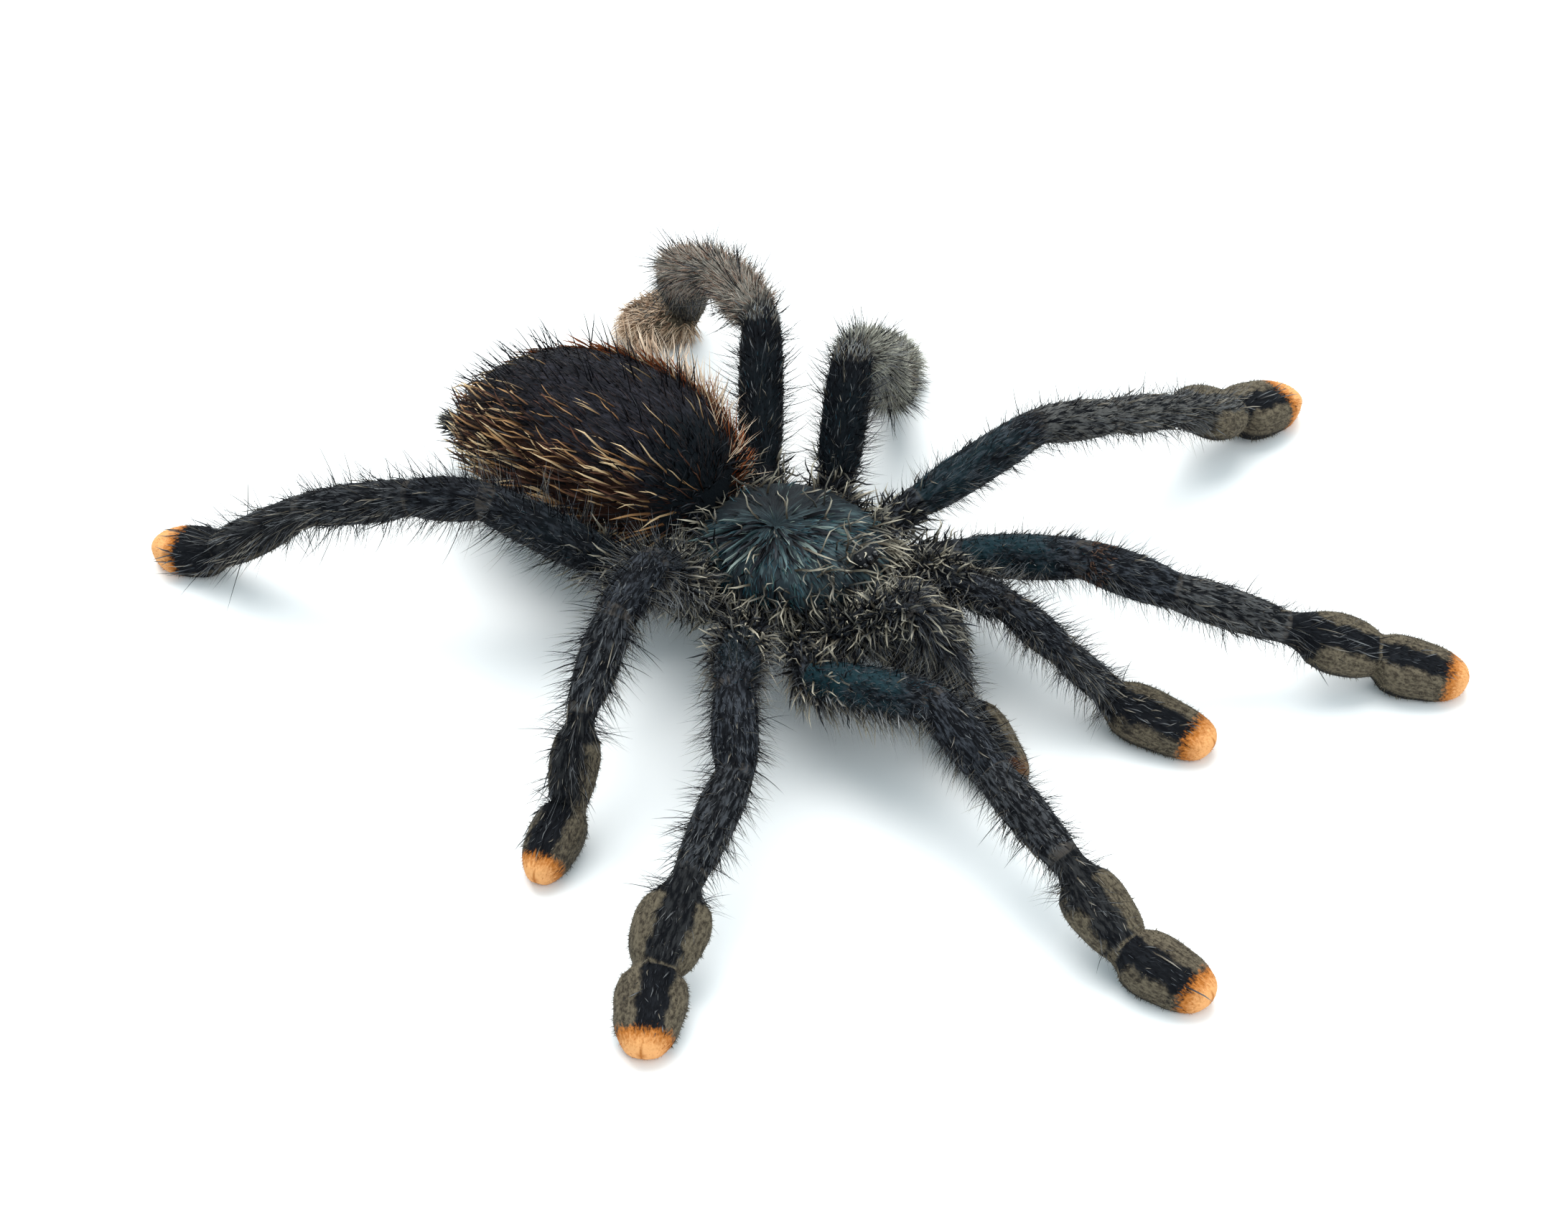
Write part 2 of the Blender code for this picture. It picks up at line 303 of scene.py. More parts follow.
class Paint:
    """A Principled material built up by expressions."""

    def __init__(self, name: str) -> None:
        """Start an empty material.

        Args:
            name: what it is called.
        """
        self.material = bpy.data.materials.new(name)
        self.material.use_nodes = True
        self.tree = self.material.node_tree
        self.shader = self.tree.nodes["Principled BSDF"]

    def node(self, kind: str, settings: dict[str, Any] | None = None, inputs: Any = None) -> Node:
        """Add a node.

        Args:
            kind: the node's type.
            settings: its properties, set before its sockets.
            inputs: a list of values or links by place, or a dict of them by socket.

        Returns:
            The node.
        """
        made = self.tree.nodes.new(kind)
        for key, value in (settings or {}).items():
            setattr(made, key, value)
        pairs = inputs.items() if isinstance(inputs, dict) else enumerate(inputs or [])
        for key, value in pairs:
            self.feed(made.inputs[key], value)
        return made

    def feed(self, socket: Socket, value: Any) -> None:
        """Link or set one socket.

        Args:
            socket: the input.
            value: a wire, another node's output, a colour or a number.
        """
        if isinstance(value, Wire):
            value = value.socket
        if isinstance(value, bpy.types.NodeSocket):
            self.tree.links.new(value, socket)
        elif isinstance(value, tuple) and len(value) == 3 and socket.type == "RGBA":
            socket.default_value = (*value, 1.0)
        else:
            socket.default_value = value

    def number(self, name: str) -> Wire:
        """Value of a point attribute."""
        return Wire(self, self.node("ShaderNodeAttribute", {"attribute_name": name}).outputs["Fac"])

    def place(self, name: str, *scale: float) -> Socket:
        """Vector attribute, scaled along each of its axes."""
        source = self.node("ShaderNodeAttribute", {"attribute_name": name}).outputs["Vector"]
        return self.node("ShaderNodeMapping", {"vector_type": "POINT"}, {0: source, 3: scale}).outputs[0]

    def noise(self, vector: Socket, detail: float = 2.0, rough: float = 0.5, scale: float = 1.0) -> Wire:
        """Cloudy noise from 0 to 1."""
        inputs = {"Vector": vector, "Scale": scale, "Detail": detail, "Roughness": rough}
        return Wire(self, self.node("ShaderNodeTexNoise", {}, inputs).outputs["Fac"])

    def mix(self, factor: Wire, first: Socket | Colour, second: Socket | Colour) -> Socket:
        """Colour between two others."""
        return self.node("ShaderNodeMix", {"data_type": "RGBA"}, {0: factor, 6: first, 7: second}).outputs[2]

    def bump(self, height: Wire, distance: float, strength: float) -> None:
        """Feed the normal from a height."""
        node = self.node("ShaderNodeBump", {}, {"Height": height, "Distance": distance, "Strength": strength})
        self.feed(self.shader.inputs["Normal"], node.outputs["Normal"])

    def finish(self, **sockets: Any) -> Material:
        """Close the material.

        Args:
            **sockets: what feeds the shader, by its sockets' names with _ for a space.

        Returns:
            The material.
        """
        for key, value in sockets.items():
            self.feed(self.shader.inputs[key.replace("_", " ")], value)
        return self.material


@dataclass(frozen=True)
class HairFinish:
    """Colour of a coat of hair: from root to tip, with a share of its hairs in a second colour."""

    name: Finish
    root: Colour
    tip: Colour
    other_root: Colour
    other_tip: Colour
    other_share: float
    roughness: float = 0.5
    sheen: float = 0.0

    def build(self) -> Material:
        """Make the material from the hair map: across it the kind of hair, up it from root to tip.

        Returns:
            The material.
        """
        paint = Paint(self.name.value)
        source = paint.node("ShaderNodeUVMap", {"uv_map": HAIR_MAP})
        ways = paint.node("ShaderNodeSeparateXYZ", {}, [source.outputs[0]])
        kind, along = Wire(paint, ways.outputs[0]), Wire(paint, ways.outputs[1])
        blend = along.step(0.05, 0.95)
        main = paint.mix(blend, self.root, self.tip)
        other = paint.mix(blend, self.other_root, self.other_tip)
        split_at = 1.0 - self.other_share
        both = paint.mix(kind.step(split_at - KIND_BLUR, split_at + KIND_BLUR), main, other)
        shade = (kind * SHADE_CHANGES).fraction() * SHADE_RANGE + DARKEST
        varied = paint.node("ShaderNodeVectorMath", {"operation": "SCALE"}, {0: both, "Scale": shade})
        return paint.finish(
            Base_Color=varied.outputs[0],
            Roughness=self.roughness,
            Specular_IOR_Level=0.05,
            Sheen_Weight=self.sheen,
            Sheen_Roughness=0.4,
        )


@dataclass(frozen=True)
class LimbFinish:
    """Skin of the legs and palps: black with a violet cast, pale joints, olive pads and peach toes."""

    name: Finish = Finish.LIMB_SKIN
    skin: Colour = (0.0030, 0.0036, 0.0052)
    streak: Colour = (0.052, 0.058, 0.070)
    ash: Colour = (0.090, 0.088, 0.084)
    fluff: Colour = (0.170, 0.155, 0.135)
    # Painted sheen: the femur's teal, laid on its upper side only.
    teal_sheen: Colour = (0.010, 0.032, 0.041)
    membrane: Colour = (0.075, 0.064, 0.055)
    pad: Colour = (0.128, 0.106, 0.074)
    pad_dark: Colour = (0.034, 0.027, 0.020)
    rim: Colour = (0.006, 0.006, 0.007)
    # Painted shade: near-black laid on the underside of the pads.
    toe: Colour = (0.74, 0.36, 0.14)
    toe_root: Colour = (0.36, 0.115, 0.018)

    def build(self) -> Material:
        """Make the material from the limb's own attributes.

        Returns:
            The material.
        """
        paint = Paint(self.name.value)
        streaks = paint.noise(paint.place("straight", 0.8, 3.0, 3.0), 3.0, 0.6)
        fine = paint.noise(paint.place("straight", 2.4, 4.0, 4.0), 3.0, 0.6)
        cloud = paint.noise(paint.place("straight", 0.3, 0.5, 0.5))
        mottle = streaks.step(0.44, 0.66) * (cloud.step(0.25, 0.55) * 0.5 + 0.5) * 0.8
        colour = paint.mix(mottle * paint.number("pale"), self.skin, self.streak)
        colour = paint.mix(streaks.step(0.40, 0.60) * paint.number("ash") * 0.8, colour, self.ash)
        # Painted sheen: teal over the femur's upper side, broken up by noise.
        painted_sheen = paint.number("sheen") * (cloud * 0.6 + fine * 0.4).step(0.36, 0.58)
        colour = paint.mix(painted_sheen, colour, self.teal_sheen)
        joint = 1.0 - abs(paint.number("along") - paint.number("along").rounded()).step(0.008, 0.03)
        bare = joint * paint.number("membrane") * (fine * 0.5 + cloud * 0.5).step(0.44, 0.58)
        colour = paint.mix(bare * 0.55, colour, self.membrane)
        colour = paint.mix(paint.number("shag") * 0.85, colour, self.fluff)
        colour = self._foot(paint, colour, streaks, fine)
        paint.bump(streaks * 0.4 + fine * 0.6, 0.0002, 0.8)
        roughness = 0.7 - paint.number("sheen") * 0.2
        return paint.finish(Base_Color=colour, Roughness=roughness, Specular_IOR_Level=0.06)

    def _foot(self, paint: Paint, colour: Socket, streaks: Wire, fine: Wire) -> Socket:
        """Lay the pads, the painted shade of their underside and the toe over the limb's colour.

        Args:
            paint: the material.
            colour: the limb's colour so far.
            streaks: noise drawn out along the limb.
            fine: noise with a fine grain.

        Returns:
            The whole limb's colour.
        """
        wool = paint.mix((fine * 0.6 + streaks * 0.4).step(0.36, 0.62), self.pad_dark, self.pad)
        colour = paint.mix((paint.number("pad") + (fine - 0.5) * 0.6).step(0.15, 0.85), colour, wool)
        # Painted shade darkens the underside of the pads.
        colour = paint.mix(paint.number("rim"), colour, self.rim)
        blush = (paint.number("foot") + (fine - 0.5) * 0.30).step(0.76, 0.96)
        toe = paint.mix(blush, self.toe_root, self.toe)
        toe = paint.mix(paint.number("slit"), toe, self.toe_root)
        start = (paint.number("foot") + (fine - 0.5) * 0.26).step(0.70, 0.80)
        return paint.mix(start * paint.number("toe"), colour, toe)


@dataclass(frozen=True)
class CarapaceFinish:
    """Teal-grey shield with pale streaks that fan out from its middle."""

    name: Finish = Finish.CARAPACE_SKIN
    skin: Colour = (0.006, 0.014, 0.019)
    pale: Colour = (0.048, 0.080, 0.088)
    # Dark tone for the random clouds, for the painted shade and for the eye hill's own dark skin.
    dark: Colour = (0.004, 0.005, 0.007)

    def build(self) -> Material:
        """Make the material from the polar place of each point round the fovea.

        Returns:
            The material.
        """
        paint = Paint(self.name.value)
        fans = paint.noise(paint.place("polar", 14.0, 14.0, 0.45), 3.0, 0.65)
        cloud = paint.noise(paint.place("polar", 1.2, 1.2, 0.25))
        colour = paint.mix(fans.step(0.46, 0.68), self.skin, self.pale)
        colour = paint.mix(cloud.step(0.5, 0.75) * 0.7, colour, self.dark)
        # Painted shade below the rim and on the far half, with the eye hill's own dark skin.
        colour = paint.mix(paint.number("shade_and_hill"), colour, self.dark)
        paint.bump(fans, 0.0002, 0.8)
        return paint.finish(Base_Color=colour, Roughness=0.6, Specular_IOR_Level=0.15, Sheen_Weight=0.01)


@dataclass(frozen=True)
class AbdomenFinish:
    """Velvety black-brown abdomen, red-brown along its flanks."""

    name: Finish = Finish.ABDOMEN_SKIN
    top: Colour = (0.007, 0.007, 0.010)
    flank: Colour = (0.020, 0.007, 0.004)
    front: Colour = (0.002, 0.004, 0.006)
    light: Colour = (0.032, 0.031, 0.042)

    def build(self) -> Material:
        """Make the material from how far down the flank and how far back each point is.

        Returns:
            The material.
        """
        paint = Paint(self.name.value)
        nap = paint.noise(paint.place("lay", 0.35, 3.0, 3.0), 3.0, 0.65)
        cloud = paint.noise(paint.place("lay", 0.3, 0.3, 0.3))
        top = paint.mix(nap.step(0.45, 0.75) * 0.8, self.top, self.light)
        flank = (paint.number("flank") + (cloud - 0.5) * 0.5).step(0.25, 0.6)
        colour = paint.mix(flank, top, self.flank)
        colour = paint.mix(paint.number("front"), colour, self.front)
        paint.bump(nap, 0.0002, 0.8)
        return paint.finish(Base_Color=colour, Roughness=0.85, Specular_IOR_Level=0.1, Sheen_Weight=0.01)


@dataclass(frozen=True)
class PlainFinish:
    """Skin of the jaws and spinnerets, or the gloss of the eyes, with a little cloudiness."""

    name: Finish
    colour: Colour
    light: Colour
    roughness: float
    scale: float

    def build(self) -> Material:
        """Make the material on object coordinates.

        Returns:
            The material.
        """
        paint = Paint(self.name.value)
        place = paint.node("ShaderNodeTexCoord").outputs["Object"]
        cloud = paint.noise(place, 3.0, 0.6, self.scale)
        colour = paint.mix(cloud.step(0.4, 0.7), self.colour, self.light)
        paint.bump(cloud, 0.0001, 0.5)
        return paint.finish(Base_Color=colour, Roughness=self.roughness)


# Colours that several coats share, each at root and tip.
TAN = ((0.055, 0.045, 0.033), (0.27, 0.235, 0.175))
GREY = ((0.016, 0.016, 0.020), (0.095, 0.095, 0.098))
BLACK = ((0.0015, 0.0015, 0.0025), (0.008, 0.008, 0.011))

SKIN_FINISHES = (
    LimbFinish(),
    CarapaceFinish(),
    AbdomenFinish(),
    PlainFinish(Finish.JAW_SKIN, (0.003, 0.003, 0.005), (0.015, 0.015, 0.020), 0.75, 1500.0),
    PlainFinish(Finish.SPINNERET_SKIN, (0.03, 0.025, 0.022), (0.07, 0.06, 0.05), 0.8, 1500.0),
    PlainFinish(Finish.EYE, (0.004, 0.004, 0.005), (0.006, 0.006, 0.008), 0.08, 100.0),
)

HAIR_FINISHES = (
    HairFinish(
        Finish.LIMB_FUR, (0.0015, 0.0015, 0.002), (0.017, 0.019, 0.024),
        BLACK[0], (0.040, 0.043, 0.050), 0.35,
    ),
    HairFinish(
        Finish.GREY_FUR, (0.014, 0.016, 0.019), (0.120, 0.132, 0.150),
        (0.004, 0.004, 0.005), (0.19, 0.195, 0.195), 0.35,
    ),
    HairFinish(
        Finish.ASH_FUR, (0.040, 0.039, 0.038), (0.250, 0.245, 0.235),
        TAN[0], (0.36, 0.34, 0.305), 0.35,
    ),
    HairFinish(
        Finish.RUST_FUR, (0.035, 0.020, 0.014), (0.13, 0.078, 0.058),
        (0.02, 0.01, 0.008), (0.09, 0.055, 0.04), 0.5,
    ),
    HairFinish(
        Finish.BLUE_FUR, (0.002, 0.014, 0.024), (0.014, 0.060, 0.085),
        (0.004, 0.02, 0.02), (0.05, 0.12, 0.12), 0.4,
    ),
    HairFinish(Finish.PALE_HAIR, (0.08, 0.08, 0.08), (0.36, 0.36, 0.36), *TAN, 0.3),
    HairFinish(
        Finish.OLIVE_FUZZ, (0.15, 0.150, 0.125), (0.60, 0.59, 0.50),
        (0.09, 0.087, 0.072), (0.36, 0.34, 0.29), 0.4,
    ),
    HairFinish(
        Finish.TEAL_FUR, (0.005, 0.016, 0.023), (0.040, 0.100, 0.132),
        GREY[0], (0.15, 0.155, 0.16), 0.28,
    ),
    HairFinish(Finish.FLECK, GREY[0], (0.16, 0.165, 0.17), TAN[0], (0.28, 0.25, 0.21), 0.35),
    HairFinish(
        Finish.FUZZ, (0.18, 0.162, 0.138), (0.66, 0.585, 0.50),
        (0.14, 0.085, 0.060), (0.50, 0.33, 0.25), 0.4,
    ),
    HairFinish(Finish.BRISTLE, *BLACK, *GREY, 0.12, 0.4),
    HairFinish(
        Finish.FINE_HAIR, (0.025, 0.026, 0.029), (0.21, 0.22, 0.235),
        (0.04, 0.034, 0.026), (0.26, 0.235, 0.19), 0.35,
    ),
    HairFinish(
        Finish.TAN_HAIR, TAN[0], (0.45, 0.41, 0.325),
        (0.032, 0.031, 0.028), (0.22, 0.205, 0.175), 0.45,
    ),
    HairFinish(
        Finish.SANDY_HAIR, (0.46, 0.33, 0.22), (0.90, 0.72, 0.56),
        (0.18, 0.105, 0.065), (0.56, 0.38, 0.26), 0.35, 0.5,
    ),
    HairFinish(
        Finish.PAD_FUR, (0.034, 0.028, 0.020), (0.135, 0.112, 0.080),
        (0.06, 0.051, 0.036), (0.23, 0.20, 0.15), 0.35, 0.8,
    ),
    HairFinish(
        Finish.TOE_FUR, (0.38, 0.14, 0.035), (0.70, 0.33, 0.115),
        (0.30, 0.10, 0.02), (0.60, 0.23, 0.06), 0.45, 0.8,
    ),
    HairFinish(
        Finish.CARAPACE_FUR, (0.010, 0.027, 0.036), (0.055, 0.108, 0.130),
        (0.03, 0.047, 0.045), (0.17, 0.215, 0.19), 0.3,
    ),
    HairFinish(
        Finish.RAY_HAIR, (0.030, 0.045, 0.046), (0.22, 0.27, 0.25),
        (0.014, 0.030, 0.034), (0.11, 0.16, 0.165), 0.4,
    ),
    HairFinish(
        Finish.VELVET, (0.002, 0.001, 0.001), (0.080, 0.058, 0.056),
        BLACK[0], (0.003, 0.003, 0.004), 0.58, 0.08,
    ),
    HairFinish(
        Finish.RED_FUR, (0.004, 0.0015, 0.001), (0.062, 0.024, 0.015),
        BLACK[0], (0.004, 0.003, 0.003), 0.48, 0.2,
    ),
    HairFinish(
        Finish.RED_HAIR, (0.010, 0.004, 0.0025), (0.085, 0.038, 0.024),
        BLACK[0], (0.03, 0.018, 0.013), 0.4, 0.6,
    ),
    HairFinish(
        Finish.GOLDEN_HAIR, (0.14, 0.078, 0.034), (0.60, 0.44, 0.26),
        (0.09, 0.042, 0.018), (0.34, 0.19, 0.085), 0.45, 0.45,
    ),
    HairFinish(
        Finish.RUSTY_HAIR, (0.07, 0.014, 0.004), (0.31, 0.092, 0.032),
        (0.02, 0.010, 0.006), (0.13, 0.05, 0.025), 0.35, 0.5,
    ),
)


# ---------------------------------------------------------------- skins


def rounded_copy(node: Piece, name: str, levels: int, swell: float) -> Piece:
    """Make a smooth skin from a solid.

    Args:
        node: the CAD node.
        name: name of the new piece.
        levels: rounds of subdivision.
        swell: how far the skin is moved out, to make up for the rounding.

    Returns:
        The new object.
    """
    bpy.ops.object.select_all(action="DESELECT")
    piece = bpy.data.objects.new(name, node.data.copy())
    piece.data.name = name
    bpy.context.scene.collection.objects.link(piece)
    bpy.context.view_layer.objects.active = piece
    piece.select_set(True)
    bpy.ops.mesh.customdata_custom_splitnormals_clear()
    bpy.ops.object.mode_set(mode="EDIT")
    bpy.ops.mesh.select_all(action="SELECT")
    bpy.ops.mesh.remove_doubles(threshold=MERGE)
    bpy.ops.mesh.tris_convert_to_quads(face_threshold=FACET_ANGLE, shape_threshold=FACET_ANGLE)
    bpy.ops.object.mode_set(mode="OBJECT")
    piece.data.materials.clear()
    rounding = piece.modifiers.new("Rounding", "SUBSURF")
    rounding.levels = rounding.render_levels = levels
    bpy.ops.object.modifier_apply(modifier=rounding.name)
    bpy.ops.object.shade_smooth()
    points, normals = surface_of(piece)
    move_points(piece, points + normals * swell)
    return piece


def surface_of(piece: Piece) -> tuple[Array, Array]:
    """Read a mesh.

    Args:
        piece: the object.

    Returns:
        Its points in millimetres and their normals.
    """
    count = len(piece.data.vertices)
    points, normals = np.empty(count * 3), np.empty(count * 3)
    piece.data.vertices.foreach_get("co", points)
    piece.data.vertex_normals.foreach_get("vector", normals)
    return points.reshape(-1, 3) / MM, normals.reshape(-1, 3)


def move_points(piece: Piece, points: Array) -> None:
    """Set a mesh's points, none of them under the floor.

    Args:
        piece: the object.
        points: its new points in millimetres.
    """
    points = points.copy()
    points[:, 2] = np.maximum(points[:, 2], 0.0)
    piece.data.vertices.foreach_set("co", (points * MM).astype(np.float32).ravel())
    piece.data.update()


def clothe(piece: Piece, layers: dict[str, Array], finish: Material) -> None:
    """Give a skin its attributes and its material.

    Args:
        piece: the skin.
        layers: a number or a vector for each point, by the name that the material reads.
        finish: the material.
    """
    for name, values in layers.items():
        vector = values.ndim == 2
        layer = piece.data.attributes.new(name, "FLOAT_VECTOR" if vector else "FLOAT", "POINT")
        layer.data.foreach_set("vector" if vector else "value", values.astype(np.float32).ravel())
    piece.data.materials.append(finish)


def fit(piece: Piece, node: str | None = None) -> None:
    """Hand a finished piece to the frame.

    Args:
        piece: the object.
        node: the CAD node that it stands in for, if any.
    """
    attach(piece, "root")
    if node:
        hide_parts(node)
    LOG.info("%s: %d faces", piece.name, len(piece.data.polygons))


# ---------------------------------------------------------------- hair


@dataclass(frozen=True)
class Hair:
    """One kind of hair.

    It has its shortest and longest length, its radius at the foot, its lift from the skin and how far it
    strays from that. Bend and droop are the shares of its length that its tip leans along the coat and hangs.
    Wave is how far it swings, steps are its rings of points, and taper is how much of its radius it loses.
    """

    length: tuple[float, float]
    radius: float
    lift: float
    stray: float
    bend: float = 0.0
    droop: float = 0.0
    wave: float = 0.0
    steps: int = 2
    taper: float = 0.75


@dataclass
class Spots:
    """Places scattered over a skin."""

    points: Array
    normals: Array

    def __len__(self) -> int:
        """How many there are."""
        return len(self.points)


def scatter(piece: Piece, count: int, rng: np.random.Generator) -> Spots:
    """Spread places evenly over a piece's surface.

    Args:
        piece: the skin.
        count: how many places.
        rng: source of the spread.

    Returns:
        The places with their normals.
    """
    mesh = piece.data
    mesh.calc_loop_triangles()
    corners = np.empty(len(mesh.loop_triangles) * 3, np.int32)
    mesh.loop_triangles.foreach_get("vertices", corners)
    corners = corners.reshape(-1, 3)
    points, normals = surface_of(piece)
    a, b, c = (points[corners[:, i]] for i in range(3))
    area = np.linalg.norm(np.cross(b - a, c - a), axis=1)
    chosen = rng.choice(len(area), count, p=area / area.sum())
    u, v = rng.random((2, count, 1))
    flip = u + v > 1
    u, v = np.where(flip, 1 - u, u), np.where(flip, 1 - v, v)
    shares = np.concatenate([1 - u - v, u, v], axis=1)
    picked = corners[chosen]
    place = (points[picked] * shares[..., None]).sum(axis=1)
    return Spots(place, unit((normals[picked] * shares[..., None]).sum(axis=1)))


class Coat:
    """Hairs of one piece: grown from scattered places, kind by kind, and then made one mesh."""

    def __init__(self, name: str, kit: Kit, spots: Spots, flow: Array) -> None:
        """Start an empty coat.

        Args:
            name: name of the piece.
            kit: materials and source of chance.
            spots: places that it may grow from.
            flow: the way that its hair lies at each.
        """
        self.name = name
        self.kit = kit
        self.spots = spots
        self.flow = flow
        self.points: list[Array] = []
        self.faces: list[list[int]] = []
        self.map: list[Array] = []
        self.finishes: list[Finish] = []
        self.kinds: list[int] = []
        self.count = 0

    def grow(self, mask: Array, hair: Hair, finish: Finish, scale: float | Array = 1.0) -> None:
        """Grow one kind of hair.

        Args:
            mask: the places that it grows from.
            hair: the kind.
            finish: its material.
            scale: share of its full length, for all or for each place.
        """
        count = int(mask.sum())
        if not count:
            return
        rng = self.kit.rng
        column = (count, 1)
        roots, normals, flow = self.spots.points[mask], self.spots.normals[mask], self.flow[mask]
        along = unit(flow - normals * dot(flow, normals))
        across = np.cross(normals, along)
        lift = np.radians(hair.lift + rng.normal(0, hair.stray, column))
        swing = np.radians(rng.normal(0, hair.stray, column))
        lying = along * np.cos(swing) + across * np.sin(swing)
        start = unit(normals * np.sin(lift) + lying * np.cos(lift))
        length = rng.uniform(*hair.length, column) * np.broadcast_to(scale, mask.shape)[mask][:, None]
        bend = along * hair.bend - UP * hair.droop + across * rng.normal(0, 0.08, column)
        waver = unit(np.cross(start, normals + across * 0.3)) * hair.wave * rng.uniform(0.4, 1.0, column)
        phase = rng.uniform(0, 2 * math.pi, column)
        side = unit(np.cross(start, normals + along * 0.2 + across * 0.1))
        other = np.cross(start, side)
        angles = [corner * 2 * math.pi / SIDES for corner in range(SIDES)]
        edges = [side * math.cos(angle) + other * math.sin(angle) for angle in angles]
        slight = np.sqrt(np.clip(length / hair.length[1], 0.2, 1))
        radius = hair.radius * rng.uniform(0.8, 1.2, column) * slight

        def middle(share: float) -> Array:
            """Middle of each hair at a share of its length."""
            reached = roots - normals * ROOT_DEPTH * (share == 0) + start * length * share
            wave = waver * (np.sin(phase + share * WAVE) - np.sin(phase)) * share
            return reached + bend * length * share**2 + wave

        rings = []
        for share in (step / hair.steps for step in range(hair.steps)):
            rings += [middle(share) + edge * (radius * (1.0 - hair.taper * share)) for edge in edges]
        block = np.stack([*rings, middle(1.0)], axis=1)
        block[..., 2] = np.maximum(block[..., 2], 0.0)
        self.points.append(block.reshape(-1, 3))
        self._weave(count, hair.steps, finish)

    def _weave(self, count: int, steps: int, finish: Finish) -> None:
        """List the faces of one kind's hairs, their material and where they lie on the hair map.

        Args:
            count: how many hairs.
            steps: rings of points on each.
            finish: their material.
        """
        stride = SIDES * steps + 1
        pattern: list[list[int]] = []
        places: list[tuple[float, float]] = []
        for step in range(steps):
            low, high = step / steps, (step + 1) / steps
            for corner in range(SIDES):
                here, after = step * SIDES + corner, step * SIDES + (corner + 1) % SIDES
                left, right = corner * MAP_STEP, (corner + 1) * MAP_STEP
                places += [(left, low), (right, low)]
                if step < steps - 1:
                    pattern.append([here, after, after + SIDES, here + SIDES])
                    places += [(right, high), (left, high)]
                else:
                    pattern.append([here, after, SIDES * steps])
                    places.append(((left + right) / 2, 1.0))
        pattern.append([2, 1, 0])
        places += [(MAP_STEP, 0.0), (MAP_STEP / 2, MAP_STEP / 2), (0.0, 0.0)]
        for first in range(self.count, self.count + count * stride, stride):
            self.faces.extend([[first + i for i in face] for face in pattern])
        self.count += count * stride
        tiled = np.tile(np.array(places), (count, 1, 1))
        tiled[..., 0] += self.kit.rng.uniform(0.0, LAST_KIND, count)[:, None]
        self.map.append(tiled.reshape(-1, 2))
        if finish not in self.finishes:
            self.finishes.append(finish)
        self.kinds.extend([self.finishes.index(finish)] * (count * len(pattern)))

    def build(self) -> Piece:
        """Make the coat one object.

        Returns:
            The object.
        """
        mesh = bpy.data.meshes.new(self.name)
        mesh.from_pydata((np.concatenate(self.points) * MM).tolist(), [], self.faces)
        layer = mesh.uv_layers.new(name=HAIR_MAP)
        layer.uv.foreach_set("vector", np.concatenate(self.map).astype(np.float32).ravel())
        for finish in self.finishes:
            mesh.materials.append(self.kit.finishes[finish])
        mesh.polygons.foreach_set("material_index", np.array(self.kinds, np.int32))
        piece = bpy.data.objects.new(self.name, mesh)
        bpy.context.scene.collection.objects.link(piece)
        return piece


# ---------------------------------------------------------------- limbs


@dataclass
class Where:
    """Where points lie on a limb: their segment, and the share, ways and straightened place on it."""

    part: Array
    share: Array
    tangent: Array
    side: Array
    up: Array
    straight: Array

    @property
    def reach(self) -> Array:
        """Number of the segment and the share of it that is passed."""
        return self.part + self.share

    @property
    def foot(self) -> Array:
        """Share of the tarsus, under 0 before it."""
        return np.where(self.part == Part.TARSUS, self.share, -1.0)

    @property
    def along(self) -> Array:
        """Distance from the coxa's start."""
        return self.straight[:, 0]

    @property
    def across(self) -> Array:
        """Distance to the side of the limb's axis."""
        return self.straight[:, 1]

    @property
    def height(self) -> Array:
        """Distance above the limb's axis."""
        return self.straight[:, 2]


@dataclass(frozen=True)
class LimbHair:
    """Kinds of hair that the limbs share."""

    pile: Hair = Hair((0.5, 1.1), 0.055, 8, 13, steps=1)
    knee: Hair = Hair((0.4, 0.8), 0.15, 6, 30, steps=1)
    ring: Hair = Hair((0.4, 0.9), 0.085, 14, 20, steps=1)
    fleck: Hair = Hair((0.6, 1.4), 0.080, 12, 22, bend=0.1, wave=0.12, taper=0.3)
    streak: Hair = Hair((1.6, 3.4), 0.075, 4, 5, wave=0.15, steps=3, taper=0.35)
    tint: Hair = Hair((0.4, 0.9), 0.065, 11, 16, steps=1)
    shag: Hair = Hair((0.6, 1.5), 0.050, 40, 32, steps=1)
    wool: Hair = Hair((0.2, 0.42), 0.045, 35, 40, steps=1)
    toe: Hair = Hair((0.18, 0.32), 0.04, 22, 16, steps=1)
    tassel: Hair = Hair((0.7, 1.9), 0.055, 34, 34, droop=0.35)
    bristle: Hair = Hair((1.5, 3.4), 0.052, 68, 13, bend=0.14, steps=3)
    below: Hair = Hair((1.0, 2.9), 0.028, 68, 15, bend=0.18, droop=0.05)
    halo: Hair = Hair((1.6, 3.6), 0.028, 72, 12, bend=0.12)
    drop: Hair = Hair((1.2, 2.6), 0.075, 20, 20, droop=0.75, steps=3, taper=0.5)
    veil: Hair = Hair((1.8, 3.4), 0.022, 15, 20, droop=0.7)
    curl: Hair = Hair((1.2, 2.8), 0.125, 24, 44, bend=0.2, droop=0.2, wave=0.5, steps=3, taper=0.4)


